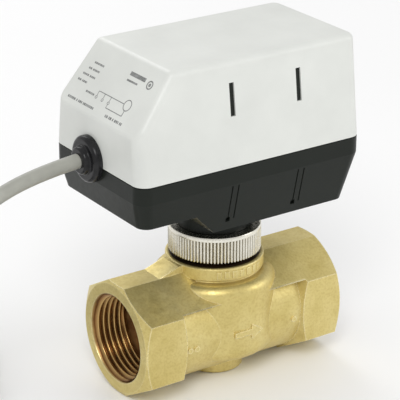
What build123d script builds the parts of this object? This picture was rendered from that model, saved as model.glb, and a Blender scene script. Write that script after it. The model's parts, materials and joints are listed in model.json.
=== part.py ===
from build123d import *
import math
import os

# Motorised two-way zone valve, in millimetres.
# X runs along the pipe with the cable end at -X, Z runs up the valve stem, -Y is the front.
# The origin is the centre of the boss under the valve body, where the valve stands.

# ---- Valve body -------------------------------------------------------------------------
BODY_LENGTH = 88.0          # end face to end face
HEX_FLATS = 43.0            # spanner size, flats at the front and the back
HEX_HEIGHT = 43.6           # over the flattened top and bottom corners
HEX_LENGTH = 16.0
HEX_SKIRT = 2.2             # axial length of the inner chamfer of a hexagon
FACE_RADIUS = 21.0          # flat ring on each end face
THREAD_RADIUS = 16.62       # G1 internal thread, major radius
THREAD_DEPTH = 15.0
MOUTH_RADIUS = 17.1
MOUTH_CHAMFER = 1.0
PASSAGE_RADIUS = 12.5
PASSAGE_END = 17.5          # distance of each blind passage end from the stem axis
DUCT_RADIUS = 9.0           # passage under or over the seat web
SHOULDER_RADIUS = 20.4
SADDLE_RISE = 13.0          # above this height over the pipe axis the hexagon runs on to the ring
BARREL_RADIUS = 23.1
BARREL_BOTTOM = 9.3
BARREL_TOP = 40.9
BOSS_RADIUS = 11.0
RING_RADIUS = 18.5
RING_HEIGHT = 4.9
RING_GROOVE = 1.0
GUSSET_REACH = 28.0         # foot of the rib between the ridge and the cast ring
SEAT_RADIUS = 9.5
WEB_THICKNESS = 3.0
CHAMBER_RADIUS = 13.2
CHAMBER_FLOOR = 12.3
RELIEF = 0.45               # height of the cast marks

# ---- Bonnet and stem --------------------------------------------------------------------
NECK_RADIUS = 15.0          # M30 x 1.5 external thread
NECK_HEIGHT = 9.2
SPIGOT_LENGTH = 10.8
SPIGOT_FIT = 0.05
STEM_RADIUS = 2.0
STEM_FIT = 0.08
STEM_TIP_RADIUS = 1.75
STROKE = 4.0
SEAT_GAP = 0.05
SEAL_RADIUS = 11.5
SEAL_THICKNESS = 2.2
HOLDER_LIP = 0.35
SPRING_RADIUS = 4.9
SPRING_WIRE = 1.0
SPRING_TURNS = 4.5
SPRING_CHAMBER = 7.0
GLAND_RADIUS = 6.0
GLAND_FLATS = 14.0

# ---- Coupling nut and collar ------------------------------------------------------------
NUT_RADIUS = 17.4
NUT_HEIGHT = 10.6
NUT_LIFT = 1.4              # gap between the cast ring and the nut
NUT_FIT = 0.08
LIP_HEIGHT = 1.15
COLLAR_RADIUS = 12.8
COLLAR_FIT = 0.12
COLLAR_STEP_RADIUS = 14.2
SNAP_RING_THICKNESS = 1.2
SNAP_RING_RADIUS = 14.3

# ---- Actuator case ----------------------------------------------------------------------
CASE_LEFT = -51.0
CASE_RIGHT = 45.3
CASE_HALF_WIDTH = 29.1
CASE_CORNER = 5.0
CASE_WALL = 2.0
SEAM_Z = 91.8
SEAM_GAP = 0.35
BAND_HEIGHT = 6.3
BASE_DEPTH = 25.0           # seam to the deep underside
SHALLOW_DEPTH = 16.3        # seam to the underside at the cable end
RAMP_FOOT = -17.6           # where the sloping underside meets the deep one
BASE_TAPER = 0.23           # inward lean of the base wall
COVER_HEIGHT = 38.1
COVER_LEAN = 4.7            # inward lean of the front and back over the whole height
COVER_END_LEAN = 0.3
SLOPE_LOW = 17.1            # height of the foot of the label slope above the seam
SLOPE_RUN = 16.0
TOP_ROUND = 2.6
SLOT_WIDTH = 2.1
SLOT_HEIGHT = 12.0
SLOT_RISE = 18.3            # foot of a clip slot above the seam
SLOT_PLACES = (-11.0, 17.7)
SLOT_FIT = 0.15
CLIP_THICKNESS = 1.2
CLIP_HALF = 2.5             # half the width of a clip tongue

# ---- Drive ------------------------------------------------------------------------------
CAM_Z = 90.0
CAM_BASE_RADIUS = 9.0
CAM_THICKNESS = 3.6
CAM_DWELL = 0.3             # radians of constant radius beyond each end of the rise
ROLLER_RADIUS = 3.0
ROLLER_FIT = 0.05
ARBOR_RADIUS = 2.0
PIVOT_FIT = 0.05
GEAR_MODULE = 0.5
CAM_TEETH = 60
IDLER_TEETH = 48
PINION_TEETH = 12
BACKLASH = 0.09
MOTOR_X = 18.0
MOTOR_Z = 98.0
MOTOR_RADIUS = 23.5
MOTOR_DEPTH = 15.0
PLATE_THICKNESS = 1.5
REAR_PLATE_Y = 4.8
FRONT_PLATE_Y = -14.9
PLATE_LEFT = -14.0
PLATE_TOP = 123.0
PILLAR_RADIUS = 2.2
PLUNGER_RADIUS = 4.0
TIP_GAP = 0.05
SWITCH_CAM_RADIUS = 5.0
SWITCH_LOBE_RADIUS = 5.4
GLAND_FLANGE = 1.2
LEVER_KNUCKLE_RADIUS = 0.4

# ---- Cable ------------------------------------------------------------------------------
CORD_DIAMETER = 5.4
CORE_DIAMETER = 1.9
GROMMET_Y = 3.5
GROMMET_RISE = 1.6          # cable axis above the seam
GROMMET_RADIUS = 8.6
GROMMET_REACH = 5.2         # how far the hub stands out of the case
GROMMET_FIT = 0.2
COIL_CENTRE = (-105.1, 45.7)
COIL_DIAMETER = 54.0        # middle of the turns
COIL_LAYERS = 3
TAIL_LENGTH = 22.0
CORE_LENGTH = 20.0

# ---- Sizes that follow ------------------------------------------------------------------
HALF_BODY = BODY_LENGTH / 2
PIPE_Z = HEX_HEIGHT / 2
WEB_BOTTOM = PIPE_Z - WEB_THICKNESS / 2
SEAT_Z = PIPE_Z + WEB_THICKNESS / 2
RING_TOP = BARREL_TOP + RING_GROOVE + RING_HEIGHT
NECK_TOP = RING_TOP + NECK_HEIGHT
SPIGOT_BOTTOM = RING_TOP - SPIGOT_LENGTH
SPRING_FLOOR = SPIGOT_BOTTOM + 4.0
GLAND_SEAT = NECK_TOP - 3.6
SPRING_CAP_TOP = GLAND_SEAT - 1.1
SPRING_CAP_BOTTOM = SPRING_CAP_TOP - 1.0
SEAL_BOTTOM = SEAT_Z + STROKE + SEAT_GAP
SEAL_TOP = SEAL_BOTTOM + SEAL_THICKNESS
STEM_TOP = NECK_TOP + 5.5
NUT_BOTTOM = RING_TOP + NUT_LIFT
NUT_TOP = NUT_BOTTOM + NUT_HEIGHT
COLLAR_BOTTOM = NECK_TOP + 0.05
SNAP_RING_Z = COLLAR_BOTTOM + 0.3
BASE_BOTTOM = SEAM_Z - BASE_DEPTH
SHALLOW_BOTTOM = SEAM_Z - SHALLOW_DEPTH
CREASE_Z = SEAM_Z - BAND_HEIGHT
FLOOR_Z = BASE_BOTTOM + CASE_WALL
SHALLOW_FLOOR = SHALLOW_BOTTOM + CASE_WALL
COVER_TOP = SEAM_Z + COVER_HEIGHT
CORD_RADIUS = CORD_DIAMETER / 2
CORD_Z = SEAM_Z + GROMMET_RISE
ROLLER_Z = CAM_Z - CAM_BASE_RADIUS - ROLLER_RADIUS - ROLLER_FIT
CAM_GEAR_RADIUS = GEAR_MODULE * CAM_TEETH / 2
IDLER_RADIUS = GEAR_MODULE * IDLER_TEETH / 2
PINION_RADIUS = GEAR_MODULE * PINION_TEETH / 2
MOTOR_FACE = REAR_PLATE_Y + PLATE_THICKNESS
CAM_GEAR_Y = (-9.0, -5.5)
IDLER_PINION_Y = (-9.3, -5.2)
IDLER_GEAR_Y = (-12.6, -9.8)
SWITCH_CAM_Y = (-12.6, -9.8)


def turned(*profile):
    """Solid of revolution about Z from (radius, height) points."""
    return revolve(Plane.XZ * make_face(Polyline(*profile, close=True)), Axis.Z)


def tube(outer, inner, low, high):
    return turned((inner, low), (outer, low), (outer, high), (inner, high))


def rod(radius, low, high):
    return turned((0, low), (radius, low), (radius, high), (0, high))


def box_between(low, high):
    size = [b - a for a, b in zip(low, high)]
    middle = [(a + b) / 2 for a, b in zip(low, high)]
    return Pos(*middle) * Box(*size)


def along_x(shape):
    """Lay a shape drawn about Z on the pipe axis, its top towards +X."""
    return Pos(0, 0, PIPE_Z) * Rot(0, 90, 0) * shape


def along_y(shape, x, z):
    """Lay a shape drawn about Z on an axis through (x, z), its heights becoming y."""
    return Pos(x, 0, z) * Rot(-90, 0, 0) * shape


def turned_to_y(x, z, radius, low, high, inner=0.0):
    """A disc or bush about an axis along Y, between two y values."""
    shape = tube(radius, inner, low, high) if inner else rod(radius, low, high)
    return along_y(shape, x, z)


def hexagon(flats, low, high):
    return Pos(0, 0, low) * extrude(RegularPolygon(flats / 2 / math.cos(math.pi / 6), 6), high - low)


# ---- Valve body -------------------------------------------------------------------------
def hex_bar(low, high):
    """Hexagonal bar along the pipe with its top and bottom corners flattened."""
    bar = hexagon(HEX_FLATS, low, high)
    return bar & Pos(0, 0, (low + high) / 2) * Box(HEX_HEIGHT, HEX_FLATS, high - low)


def hex_end():
    """One spanner end, at the +X side of the body."""
    corner = HEX_FLATS / 2 / math.cos(math.pi / 6)
    start = HALF_BODY - HEX_LENGTH
    outer_cut = (corner - FACE_RADIUS) * math.tan(math.radians(30))
    blank = turned((0, start - HEX_SKIRT), (SHOULDER_RADIUS, start - HEX_SKIRT), (corner, start),
                   (corner, HALF_BODY - outer_cut), (FACE_RADIUS, HALF_BODY), (0, HALF_BODY))
    return along_x(hex_bar(start - HEX_SKIRT, HALF_BODY) & blank)


def barrel():
    """Upright middle of the casting, with the boss below and the cast ring above."""
    groove_radius = RING_RADIUS - 1.1
    ring_bottom = BARREL_TOP + RING_GROOVE
    points = [(0, 0), (BOSS_RADIUS, 0), (BOSS_RADIUS, BARREL_BOTTOM), (BARREL_RADIUS, BARREL_BOTTOM),
              (BARREL_RADIUS, BARREL_TOP), (groove_radius, BARREL_TOP), (groove_radius, ring_bottom),
              (RING_RADIUS, ring_bottom), (RING_RADIUS, RING_TOP), (0, RING_TOP)]
    rounds = [0, 1.0, 3.0, 5.5, 4.0, 0.5, 0, 0.4, 0.5, 0]
    return revolve(Plane.XZ * make_face(FilletPolyline(*points, radius=rounds, close=True)), Axis.Z)


def port_bore():
    """Threaded end, blind passage and mouth chamfer of the +X port."""
    return along_x(turned((0, PASSAGE_END), (PASSAGE_RADIUS, PASSAGE_END),
                          (PASSAGE_RADIUS, HALF_BODY - THREAD_DEPTH - 2),
                          (THREAD_RADIUS, HALF_BODY - THREAD_DEPTH),
                          (THREAD_RADIUS, HALF_BODY - MOUTH_CHAMFER),
                          (MOUTH_RADIUS, HALF_BODY), (0, HALF_BODY)))


def seat_ducts():
    """Half-round ducts: the -X port opens below the seat web, the +X port above it."""
    bar = along_x(rod(DUCT_RADIUS, -PASSAGE_END, PASSAGE_END))
    reach = 2 * PASSAGE_END
    below = box_between((-reach, -reach, 0), (0, reach, WEB_BOTTOM))
    above = box_between((0, -reach, SEAT_Z), (reach, reach, SEAT_Z + reach))
    return (bar & below) + (bar & above)


def ring_gusset():
    """Rib on the flattened ridge at the cable end, rising to the cast ring."""
    flat = math.sqrt(3) * (HEX_FLATS / math.sqrt(3) - HEX_HEIGHT / 2)
    rib = make_face(Polyline((-GUSSET_REACH, HEX_HEIGHT - 1), (-GUSSET_REACH, HEX_HEIGHT - 0.05),
                             (-RING_RADIUS - 1, RING_TOP - 0.4), (0, RING_TOP - 0.4), (0, HEX_HEIGHT - 1),
                             close=True))
    return extrude(Plane.XZ * rib, flat - 0.1, both=True)


def flow_arrow():
    """Raised arrow on the front of the barrel, pointing to +X."""
    outline = Polyline((-6.5, -1.1), (1.0, -1.1), (1.0, -3.0), (6.0, 0), (1.0, 3.0), (1.0, 1.1),
                       (-6.5, 1.1), close=True)
    face = Plane.XZ * make_face(outline)
    depth = 4.0
    return Pos(0, -BARREL_RADIUS - RELIEF + depth, PIPE_Z) * extrude(face, depth)


def port_marks():
    """Raised dots: two beside the inlet end, one beside the outlet end."""
    marks = Part()
    for x in (-24.6, -21.6, 22.6):
        marks += Pos(x, -SHOULDER_RADIUS + 1, PIPE_Z - 2) * Rot(90, 0, 0) * Cylinder(1.1, 2 + 2 * RELIEF)
    return marks


def valve_body():
    end = hex_end()
    reach = HALF_BODY - HEX_LENGTH
    saddle = along_x(hex_bar(-reach, reach))
    saddle &= box_between((-reach, -HEX_FLATS, PIPE_Z + SADDLE_RISE), (reach, HEX_FLATS, HEX_HEIGHT))
    body = end + mirror(end, Plane.YZ) + along_x(rod(SHOULDER_RADIUS, -reach, reach)) + saddle
    body += barrel()
    body += ring_gusset()
    body += flow_arrow()
    body += port_marks()
    bore = port_bore()
    body -= bore
    body -= mirror(bore, Plane.YZ)
    body -= seat_ducts()
    body -= rod(CHAMBER_RADIUS, CHAMBER_FLOOR, WEB_BOTTOM)
    body -= rod(SEAT_RADIUS, WEB_BOTTOM, SEAT_Z)
    body -= rod(CHAMBER_RADIUS, SEAT_Z, RING_TOP)
    return body


# ---- Bonnet, gland and stem -------------------------------------------------------------
GROOVE_LOW = RING_TOP - 4.2
GROOVE_HIGH = RING_TOP - 2.2
GROOVE_RADIUS = 11.4
GLAND_RING_LOW = GLAND_SEAT + 1.0
GLAND_RING_HIGH = GLAND_RING_LOW + 1.8
GLAND_RING_RADIUS = 3.7


def bonnet_insert():
    spigot = CHAMBER_RADIUS - SPIGOT_FIT
    bore = STEM_RADIUS + STEM_FIT
    return turned((bore, SPIGOT_BOTTOM), (spigot - 0.6, SPIGOT_BOTTOM), (spigot, SPIGOT_BOTTOM + 0.6),
                  (spigot, GROOVE_LOW), (GROOVE_RADIUS, GROOVE_LOW), (GROOVE_RADIUS, GROOVE_HIGH),
                  (spigot, GROOVE_HIGH), (spigot, RING_TOP), (NECK_RADIUS, RING_TOP),
                  (NECK_RADIUS, NECK_TOP - 0.8), (NECK_RADIUS - 0.8, NECK_TOP), (GLAND_RADIUS, NECK_TOP),
                  (GLAND_RADIUS, GLAND_SEAT), (SPRING_CHAMBER, GLAND_SEAT),
                  (SPRING_CHAMBER, SPRING_FLOOR), (bore, SPRING_FLOOR))


def o_ring(inner, outer, height):
    section = (outer - inner) / 2
    return Pos(0, 0, height) * Torus(inner + section, section)


def bonnet_o_ring():
    return o_ring(GROOVE_RADIUS + 0.02, CHAMBER_RADIUS - 0.02, (GROOVE_LOW + GROOVE_HIGH) / 2)


def gland_nut():
    bore = STEM_RADIUS + STEM_FIT
    flange_bottom = NECK_TOP
    flange_top = NECK_TOP + GLAND_FLANGE
    body = turned((bore, GLAND_SEAT + 0.1), (GLAND_RADIUS - 0.02, GLAND_SEAT + 0.1),
                  (GLAND_RADIUS - 0.02, flange_bottom), (bore, flange_bottom))
    body += hexagon(GLAND_FLATS, flange_bottom, flange_top) - rod(bore, flange_bottom, flange_top)
    return body - tube(GLAND_RING_RADIUS, 0.5, GLAND_RING_LOW, GLAND_RING_HIGH)


def stem_o_ring():
    return o_ring(STEM_RADIUS + STEM_FIT, GLAND_RING_RADIUS - 0.02, (GLAND_RING_LOW + GLAND_RING_HIGH) / 2)


def valve_stem():
    return turned((0, SEAL_BOTTOM - 2.9), (STEM_TIP_RADIUS, SEAL_BOTTOM - 2.9),
                  (STEM_TIP_RADIUS, SEAL_TOP + 1), (STEM_RADIUS, SEAL_TOP + 1),
                  (STEM_RADIUS, STEM_TOP - 0.4), (STEM_RADIUS - 0.4, STEM_TOP), (0, STEM_TOP))


def disc_holder():
    rim = SEAL_RADIUS + HOLDER_LIP
    return turned((STEM_TIP_RADIUS, SEAL_TOP), (SEAL_RADIUS, SEAL_TOP), (SEAL_RADIUS, SEAL_TOP - 1),
                  (rim, SEAL_TOP - 1), (rim, SEAL_TOP + 1.2), (4.5, SEAL_TOP + 1.6), (4.0, SEAL_TOP + 3.4),
                  (STEM_RADIUS, SEAL_TOP + 3.4), (STEM_RADIUS, SEAL_TOP + 1), (STEM_TIP_RADIUS, SEAL_TOP + 1))


def disc_seal():
    return tube(SEAL_RADIUS, STEM_TIP_RADIUS, SEAL_BOTTOM, SEAL_TOP)


def disc_nut():
    return hexagon(6.0, SEAL_BOTTOM - 2.2, SEAL_BOTTOM) - rod(STEM_TIP_RADIUS, 0, STEM_TOP)


def spring_cap():
    return turned((STEM_RADIUS, SPRING_CAP_BOTTOM), (STEM_RADIUS, SPRING_CAP_TOP), (6.2, SPRING_CAP_TOP),
                  (6.2, SPRING_CAP_BOTTOM))


def coil_spring(radius, wire, turns, low, high):
    """Round-wire helix whose ends stay a little inside the two heights."""
    inset = wire / 2 + 0.05
    rise = high - low - 2 * inset
    path = Pos(0, 0, low + inset) * Helix(pitch=rise / turns, height=rise, radius=radius)
    start = Plane(path @ 0, z_dir=path % 0)
    return sweep(start * Circle(wire / 2), path=path, is_frenet=True)


def return_spring():
    return coil_spring(SPRING_RADIUS, SPRING_WIRE, SPRING_TURNS, SPRING_FLOOR, SPRING_CAP_BOTTOM)


# ---- Coupling nut and snap ring ---------------------------------------------------------
def coupling_nut():
    bore = NECK_RADIUS + NUT_FIT
    lip = COLLAR_RADIUS + COLLAR_FIT
    lip_bottom = NUT_TOP - LIP_HEIGHT
    return turned((bore + 0.5, NUT_BOTTOM), (NUT_RADIUS - 0.4, NUT_BOTTOM), (NUT_RADIUS, NUT_BOTTOM + 0.4),
                  (NUT_RADIUS, NUT_TOP - 0.8), (NUT_RADIUS - 0.8, NUT_TOP), (lip, NUT_TOP),
                  (lip, lip_bottom), (bore, lip_bottom), (bore, NUT_BOTTOM + 0.5))


def retaining_ring():
    """Split ring in the groove of the collar; the lip of the nut rests on it."""
    groove = COLLAR_RADIUS - 0.6
    ring = tube(SNAP_RING_RADIUS, groove + 0.04, SNAP_RING_Z, SNAP_RING_Z + SNAP_RING_THICKNESS)
    return ring - Pos(SNAP_RING_RADIUS, 0, SNAP_RING_Z) * Box(6, 4, 6)


# ---- Case -------------------------------------------------------------------------------
def case_outline(z, inset_x=0.0, inset_y=0.0, corner=CASE_CORNER):
    """Rounded outline of the case at a height, drawn in from the full size."""
    length = CASE_RIGHT - CASE_LEFT - 2 * inset_x
    width = 2 * (CASE_HALF_WIDTH - inset_y)
    centre = (CASE_LEFT + CASE_RIGHT) / 2
    return Pos(centre, 0, z) * RectangleRounded(length, width, corner)


def base_form(inset, low, underside, ramp_foot):
    """Base without its hollow; inset, low and the underside heights give the outer or inner form."""
    corner = CASE_CORNER - inset
    lean = BASE_TAPER * (CREASE_Z - low)
    form = loft([case_outline(low, inset + lean, inset + lean, corner * 0.75),
                 case_outline(CREASE_Z, inset, inset, corner)])
    form += extrude(case_outline(CREASE_Z, inset, inset, corner), BAND_HEIGHT)
    rise = underside - low
    reach = CASE_LEFT - 10
    wedge = make_face(Polyline((reach, underside), (ramp_foot - rise, underside), (ramp_foot, low),
                               (ramp_foot, low - 10), (reach, low - 10), close=True))
    return form - extrude(Plane.XZ * wedge, 2 * CASE_HALF_WIDTH, both=True)


def wall_lean(z):
    """Distance that the cover's front wall has come in at a height."""
    return COVER_LEAN * (z - SEAM_Z) / COVER_HEIGHT


def clip_arm(x):
    """Sprung tongue behind the front wall of the cover, with a nose that fills its slot."""
    low = SEAM_Z - 4
    foot = SEAM_Z + SLOT_RISE + SLOT_FIT
    head = SEAM_Z + SLOT_RISE + SLOT_HEIGHT - SLOT_FIT
    gap = CASE_WALL + 0.35
    front_low = -CASE_HALF_WIDTH + gap
    front_high = -CASE_HALF_WIDTH + wall_lean(head) + gap
    tongue = make_face(Polyline((front_low, low), (front_low, SEAM_Z), (front_high, head + 1),
                                (front_high + CLIP_THICKNESS, head + 1), (front_low + CLIP_THICKNESS, SEAM_Z),
                                (front_low + CLIP_THICKNESS, low), close=True))
    arm = extrude(Plane.YZ * tongue, CLIP_HALF, both=True)
    arm += box_between((-CLIP_HALF, -CASE_HALF_WIDTH + 1, low), (CLIP_HALF, front_low + 0.5, SEAM_Z - 1.2))
    nose_foot = -CASE_HALF_WIDTH + wall_lean(foot) + 0.5
    nose_head = -CASE_HALF_WIDTH + wall_lean(head) + 0.5
    nose = make_face(Polyline((nose_foot, foot), (nose_head, head), (nose_head + CASE_WALL + 0.5, head),
                              (nose_foot + CASE_WALL + 0.5, foot), close=True))
    arm += extrude(Plane.YZ * nose, SLOT_WIDTH / 2 - SLOT_FIT, both=True)
    return Pos(x, 0, 0) * arm


def clip_arms():
    arms = [clip_arm(x) for x in SLOT_PLACES]
    return arms + [mirror(arm, Plane.XZ) for arm in arms]


def base_groove(x):
    """Twin release grooves in the base wall below a slot, with a square pocket at the foot."""
    lean_angle = math.degrees(math.atan(BASE_TAPER))
    length = CREASE_Z - BASE_BOTTOM - 4.5
    cut = Part()
    for offset in (-1.3, 1.3):
        cut += Pos(offset, 0, -length / 2) * Box(0.5, 1.0, length)
    cut += Pos(-1.3, 0.4, -length) * Box(1.8, 1.8, 1.8)
    return Pos(x, -CASE_HALF_WIDTH, CREASE_Z - 0.6) * Rot(lean_angle, 0, 0) * cut


def grommet_hole(radius, low, high):
    """Round hole for the grommet through the cable end of the case, heights measured along X."""
    return Pos(0, GROMMET_Y, CORD_Z) * Rot(0, 90, 0) * rod(radius, low, high)


CABLE_BLOCK_X = (-44.0, -37.0)
CLAMP_SCREW_OFFSET = 6.6


def cable_saddle():
    """Block on the base floor that the cable lies on."""
    low_x, high_x = CABLE_BLOCK_X
    block = box_between((low_x, GROMMET_Y - 9, SHALLOW_FLOOR - 0.5), (high_x, GROMMET_Y + 9, CORD_Z - 1.2))
    return block - Pos(0, GROMMET_Y, CORD_Z) * Rot(0, 90, 0) * rod(CORD_RADIUS, low_x, high_x)


PLATE_FOOT_Z = FLOOR_Z + 1.1
PLATE_SCREWS = ((-8.0, 11.0), (34.0, 11.0), (-8.0, -18.6), (26.0, -18.6))
BOARD_Z = SHALLOW_FLOOR + 5.0
BOARD_X = (-34.5, -18.5)
BOARD_HALF = 21.0
BOARD_SCREWS = ((-26.5, -17.5), (-26.5, 17.5))


def base_housing():
    outer = base_form(0, BASE_BOTTOM, SHALLOW_BOTTOM, RAMP_FOOT)
    inner = base_form(CASE_WALL, FLOOR_Z, SHALLOW_FLOOR, RAMP_FOOT + 0.4 * CASE_WALL)
    base = outer - inner
    base += rod(COLLAR_STEP_RADIUS, NUT_TOP + 0.1, BASE_BOTTOM + 0.2)
    base += rod(COLLAR_RADIUS, COLLAR_BOTTOM, NUT_TOP + 0.1)
    base -= tube(COLLAR_RADIUS + 1, COLLAR_RADIUS - 0.6, SNAP_RING_Z - 0.05,
                 SNAP_RING_Z + SNAP_RING_THICKNESS + 0.05)
    base -= rod(GLAND_FLATS / 2 / math.cos(math.pi / 6) + 1, COLLAR_BOTTOM, BUSH_BOTTOM)
    base -= rod(BUSH_RADIUS, BUSH_BOTTOM, FLOOR_Z)
    for x, y in PLATE_SCREWS:
        base += Pos(x, y, 0) * tube(3.2, 0.9, FLOOR_Z - 0.5, PLATE_FOOT_Z)
    for x, y in BOARD_SCREWS:
        base += Pos(x, y, 0) * tube(2.6, 0.9, SHALLOW_FLOOR - 0.5, BOARD_Z)
    base += cable_saddle()
    for arm in clip_arms():
        base += arm
    for x in SLOT_PLACES:
        groove = base_groove(x)
        base -= groove
        base -= mirror(groove, Plane.XZ)
    return base - grommet_hole(GROMMET_WAIST, CASE_LEFT - 1, CASE_LEFT + CASE_WALL + 1)


def cover_form(inset):
    """Cover without its hollow: leaning walls and the label slope at the cable end."""
    bottom = SEAM_Z + SEAM_GAP
    top = COVER_TOP - inset
    lean = wall_lean(top)
    form = loft([case_outline(bottom, inset, inset, CASE_CORNER - inset),
                 case_outline(top, inset + COVER_END_LEAN, inset + lean, CASE_CORNER - inset - 0.8)])
    slope = math.atan2(COVER_HEIGHT - SLOPE_LOW, SLOPE_RUN)
    drop = inset / math.cos(slope)
    low = SEAM_Z + SLOPE_LOW - drop
    rise = COVER_HEIGHT - SLOPE_LOW
    over = 1.5
    wedge = make_face(Polyline((CASE_LEFT - over * SLOPE_RUN, low - over * rise),
                               (CASE_LEFT + over * SLOPE_RUN, low + over * rise),
                               (CASE_LEFT - over * SLOPE_RUN, low + over * rise), close=True))
    return form - extrude(Plane.XZ * wedge, 2 * CASE_HALF_WIDTH, both=True)


def rounded_cover_form():
    form = cover_form(0)
    upper = [e for e in form.edges() if e.center().Z > SEAM_Z + SLOPE_LOW - 0.5]
    wanted = [e for e in upper if not (abs(e.tangent_at(0.5).Z) > 0.9)]
    return fillet(wanted, TOP_ROUND)


def cover():
    shell = rounded_cover_form() - cover_form(CASE_WALL)
    for x in SLOT_PLACES:
        middle = SEAM_Z + SLOT_RISE + SLOT_HEIGHT / 2
        shell -= Pos(x, 0, middle) * Box(SLOT_WIDTH, 3 * CASE_HALF_WIDTH, SLOT_HEIGHT)
    return shell - grommet_hole(GROMMET_WAIST, CASE_LEFT - 1, CASE_LEFT + CASE_WALL + 1)


# ---- Plunger, roller and guide ----------------------------------------------------------
BUSH_BOTTOM = NECK_TOP + 6.2
BUSH_RADIUS = 6.5
YOKE_BOTTOM = ROLLER_Z - 4.9
YOKE_TOP = ROLLER_Z + 2.4
YOKE_HALF_X = 3.6
YOKE_HALF_Y = 4.2
YOKE_GAP = CAM_THICKNESS / 2 + 0.35
ROLLER_PIN_RADIUS = 1.0


def guide_bush():
    top = min(FLOOR_Z, YOKE_BOTTOM - STROKE - 0.3)
    return tube(BUSH_RADIUS, PLUNGER_RADIUS + PIVOT_FIT, BUSH_BOTTOM, top)


def plunger():
    tip = STEM_TOP + TIP_GAP
    body = rod(PLUNGER_RADIUS, tip, YOKE_BOTTOM + 0.5)
    body += box_between((-YOKE_HALF_X, -YOKE_HALF_Y, YOKE_BOTTOM), (YOKE_HALF_X, YOKE_HALF_Y, YOKE_TOP))
    slot_floor = ROLLER_Z - ROLLER_RADIUS - 0.4
    body -= box_between((-YOKE_HALF_X, -YOKE_GAP, slot_floor), (YOKE_HALF_X, YOKE_GAP, YOKE_TOP))
    return body - turned_to_y(0, ROLLER_Z, ROLLER_PIN_RADIUS, -YOKE_HALF_Y, YOKE_HALF_Y)


def roller_pin():
    return turned_to_y(0, ROLLER_Z, ROLLER_PIN_RADIUS, -YOKE_HALF_Y, YOKE_HALF_Y)


def follower_roller():
    half = CAM_THICKNESS / 2 + 0.1
    return turned_to_y(0, ROLLER_Z, ROLLER_RADIUS, -half, half, ROLLER_PIN_RADIUS + PIVOT_FIT)


# ---- Cam and gears ----------------------------------------------------------------------
def pitch_radius(angle):
    """Distance of the roller centre from the cam axis at a cam angle in radians."""
    low = CAM_BASE_RADIUS + ROLLER_RADIUS + ROLLER_FIT
    angle = (angle + CAM_DWELL) % (2 * math.pi) - CAM_DWELL
    if angle < 0:
        return low
    if angle < math.pi:
        return low + STROKE * angle / math.pi
    if angle < math.pi + CAM_DWELL:
        return low + STROKE
    part = (angle - math.pi - CAM_DWELL) / (math.pi - 2 * CAM_DWELL)
    return low + STROKE * (1 + math.cos(math.pi * part)) / 2


def cam_profile_radius(angle):
    """Cam radius that just clears the roller at every cam angle."""
    clear = ROLLER_RADIUS + ROLLER_FIT
    best = 1e9
    for step in range(-40, 41):
        offset = step * 0.01
        distance = pitch_radius(angle + offset)
        across = distance * math.sin(offset)
        if abs(across) < clear:
            best = min(best, distance * math.cos(offset) - math.sqrt(clear ** 2 - across ** 2))
    return best


def cam_arbor():
    return turned_to_y(0, CAM_Z, ARBOR_RADIUS, FRONT_PLATE_Y - 0.6, MOTOR_FACE - 0.1)


def plunger_cam():
    """Disc cam; cam angle zero points down and the profile grows against the turning direction."""
    count = 72
    points = []
    for i in range(count):
        angle = 2 * math.pi * i / count
        radius = cam_profile_radius(angle)
        points.append((radius * math.sin(angle), -radius * math.cos(angle)))
    face = Plane.XZ * make_face(Spline(*points, periodic=True))
    disc = Pos(0, CAM_THICKNESS / 2, CAM_Z) * extrude(face, CAM_THICKNESS)
    disc += turned_to_y(0, CAM_Z, 4.0, CAM_GEAR_Y[1], 0)
    return disc - turned_to_y(0, CAM_Z, ARBOR_RADIUS, CAM_GEAR_Y[1], CAM_THICKNESS)


def involute_point(base, radius, turn):
    """Point of an involute at a radius, turned by an angle."""
    roll = math.sqrt(max((radius / base) ** 2 - 1, 0.0))
    angle = roll - math.atan(roll) + turn
    return radius * math.cos(angle), radius * math.sin(angle)


def gear_face(teeth, tip_factor, phase):
    """Spur gear outline on XY with a tooth centred on the phase angle."""
    pitch = GEAR_MODULE * teeth / 2
    base = pitch * math.cos(math.radians(20))
    tip = pitch + tip_factor * GEAR_MODULE
    root = pitch - 1.3 * GEAR_MODULE
    roll = math.tan(math.radians(20)) - math.radians(20)
    half = (math.pi / 2 - BACKLASH / GEAR_MODULE) / teeth + roll
    start = max(base, root + 0.02)
    radii = [start + (tip - start) * k / 3 for k in range(4)]
    edges = []
    step = 2 * math.pi / teeth
    for i in range(teeth):
        centre = phase + i * step
        rising = [involute_point(base, r, -half) for r in radii]
        turned_up = [rotate_point(p, centre) for p in rising]
        turned_down = [rotate_point((x, -y), centre) for x, y in reversed(rising)]
        foot_angle = math.atan2(rising[0][1], rising[0][0])
        foot_in = polar(root, centre + foot_angle)
        foot_out = polar(root, centre - foot_angle)
        next_foot = polar(root, centre + step + foot_angle)
        edges.append(Line(foot_in, turned_up[0]))
        edges.append(Spline(*turned_up))
        edges.append(ThreePointArc(turned_up[-1], polar(tip, centre), turned_down[0]))
        edges.append(Spline(*turned_down))
        edges.append(Line(turned_down[-1], foot_out))
        edges.append(ThreePointArc(foot_out, polar(root, centre + step / 2), next_foot))
    return make_face(edges)


def polar(radius, angle):
    return radius * math.cos(angle), radius * math.sin(angle)


def rotate_point(point, angle):
    x, y = point
    return x * math.cos(angle) - y * math.sin(angle), x * math.sin(angle) + y * math.cos(angle)


def gear(teeth, tip_factor, place, y_range, towards, bore, tooth_there):
    """Gear about an axis along Y at place (x, z); a tooth or a gap faces the point towards."""
    angle = math.atan2(towards[1] - place[1], towards[0] - place[0])
    phase = angle if tooth_there else angle + math.pi / teeth
    low, high = y_range
    face = Plane.XZ * gear_face(teeth, tip_factor, phase)
    body = Pos(place[0], high, place[1]) * extrude(face, high - low)
    return body - turned_to_y(place[0], place[1], bore, low, high)


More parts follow.
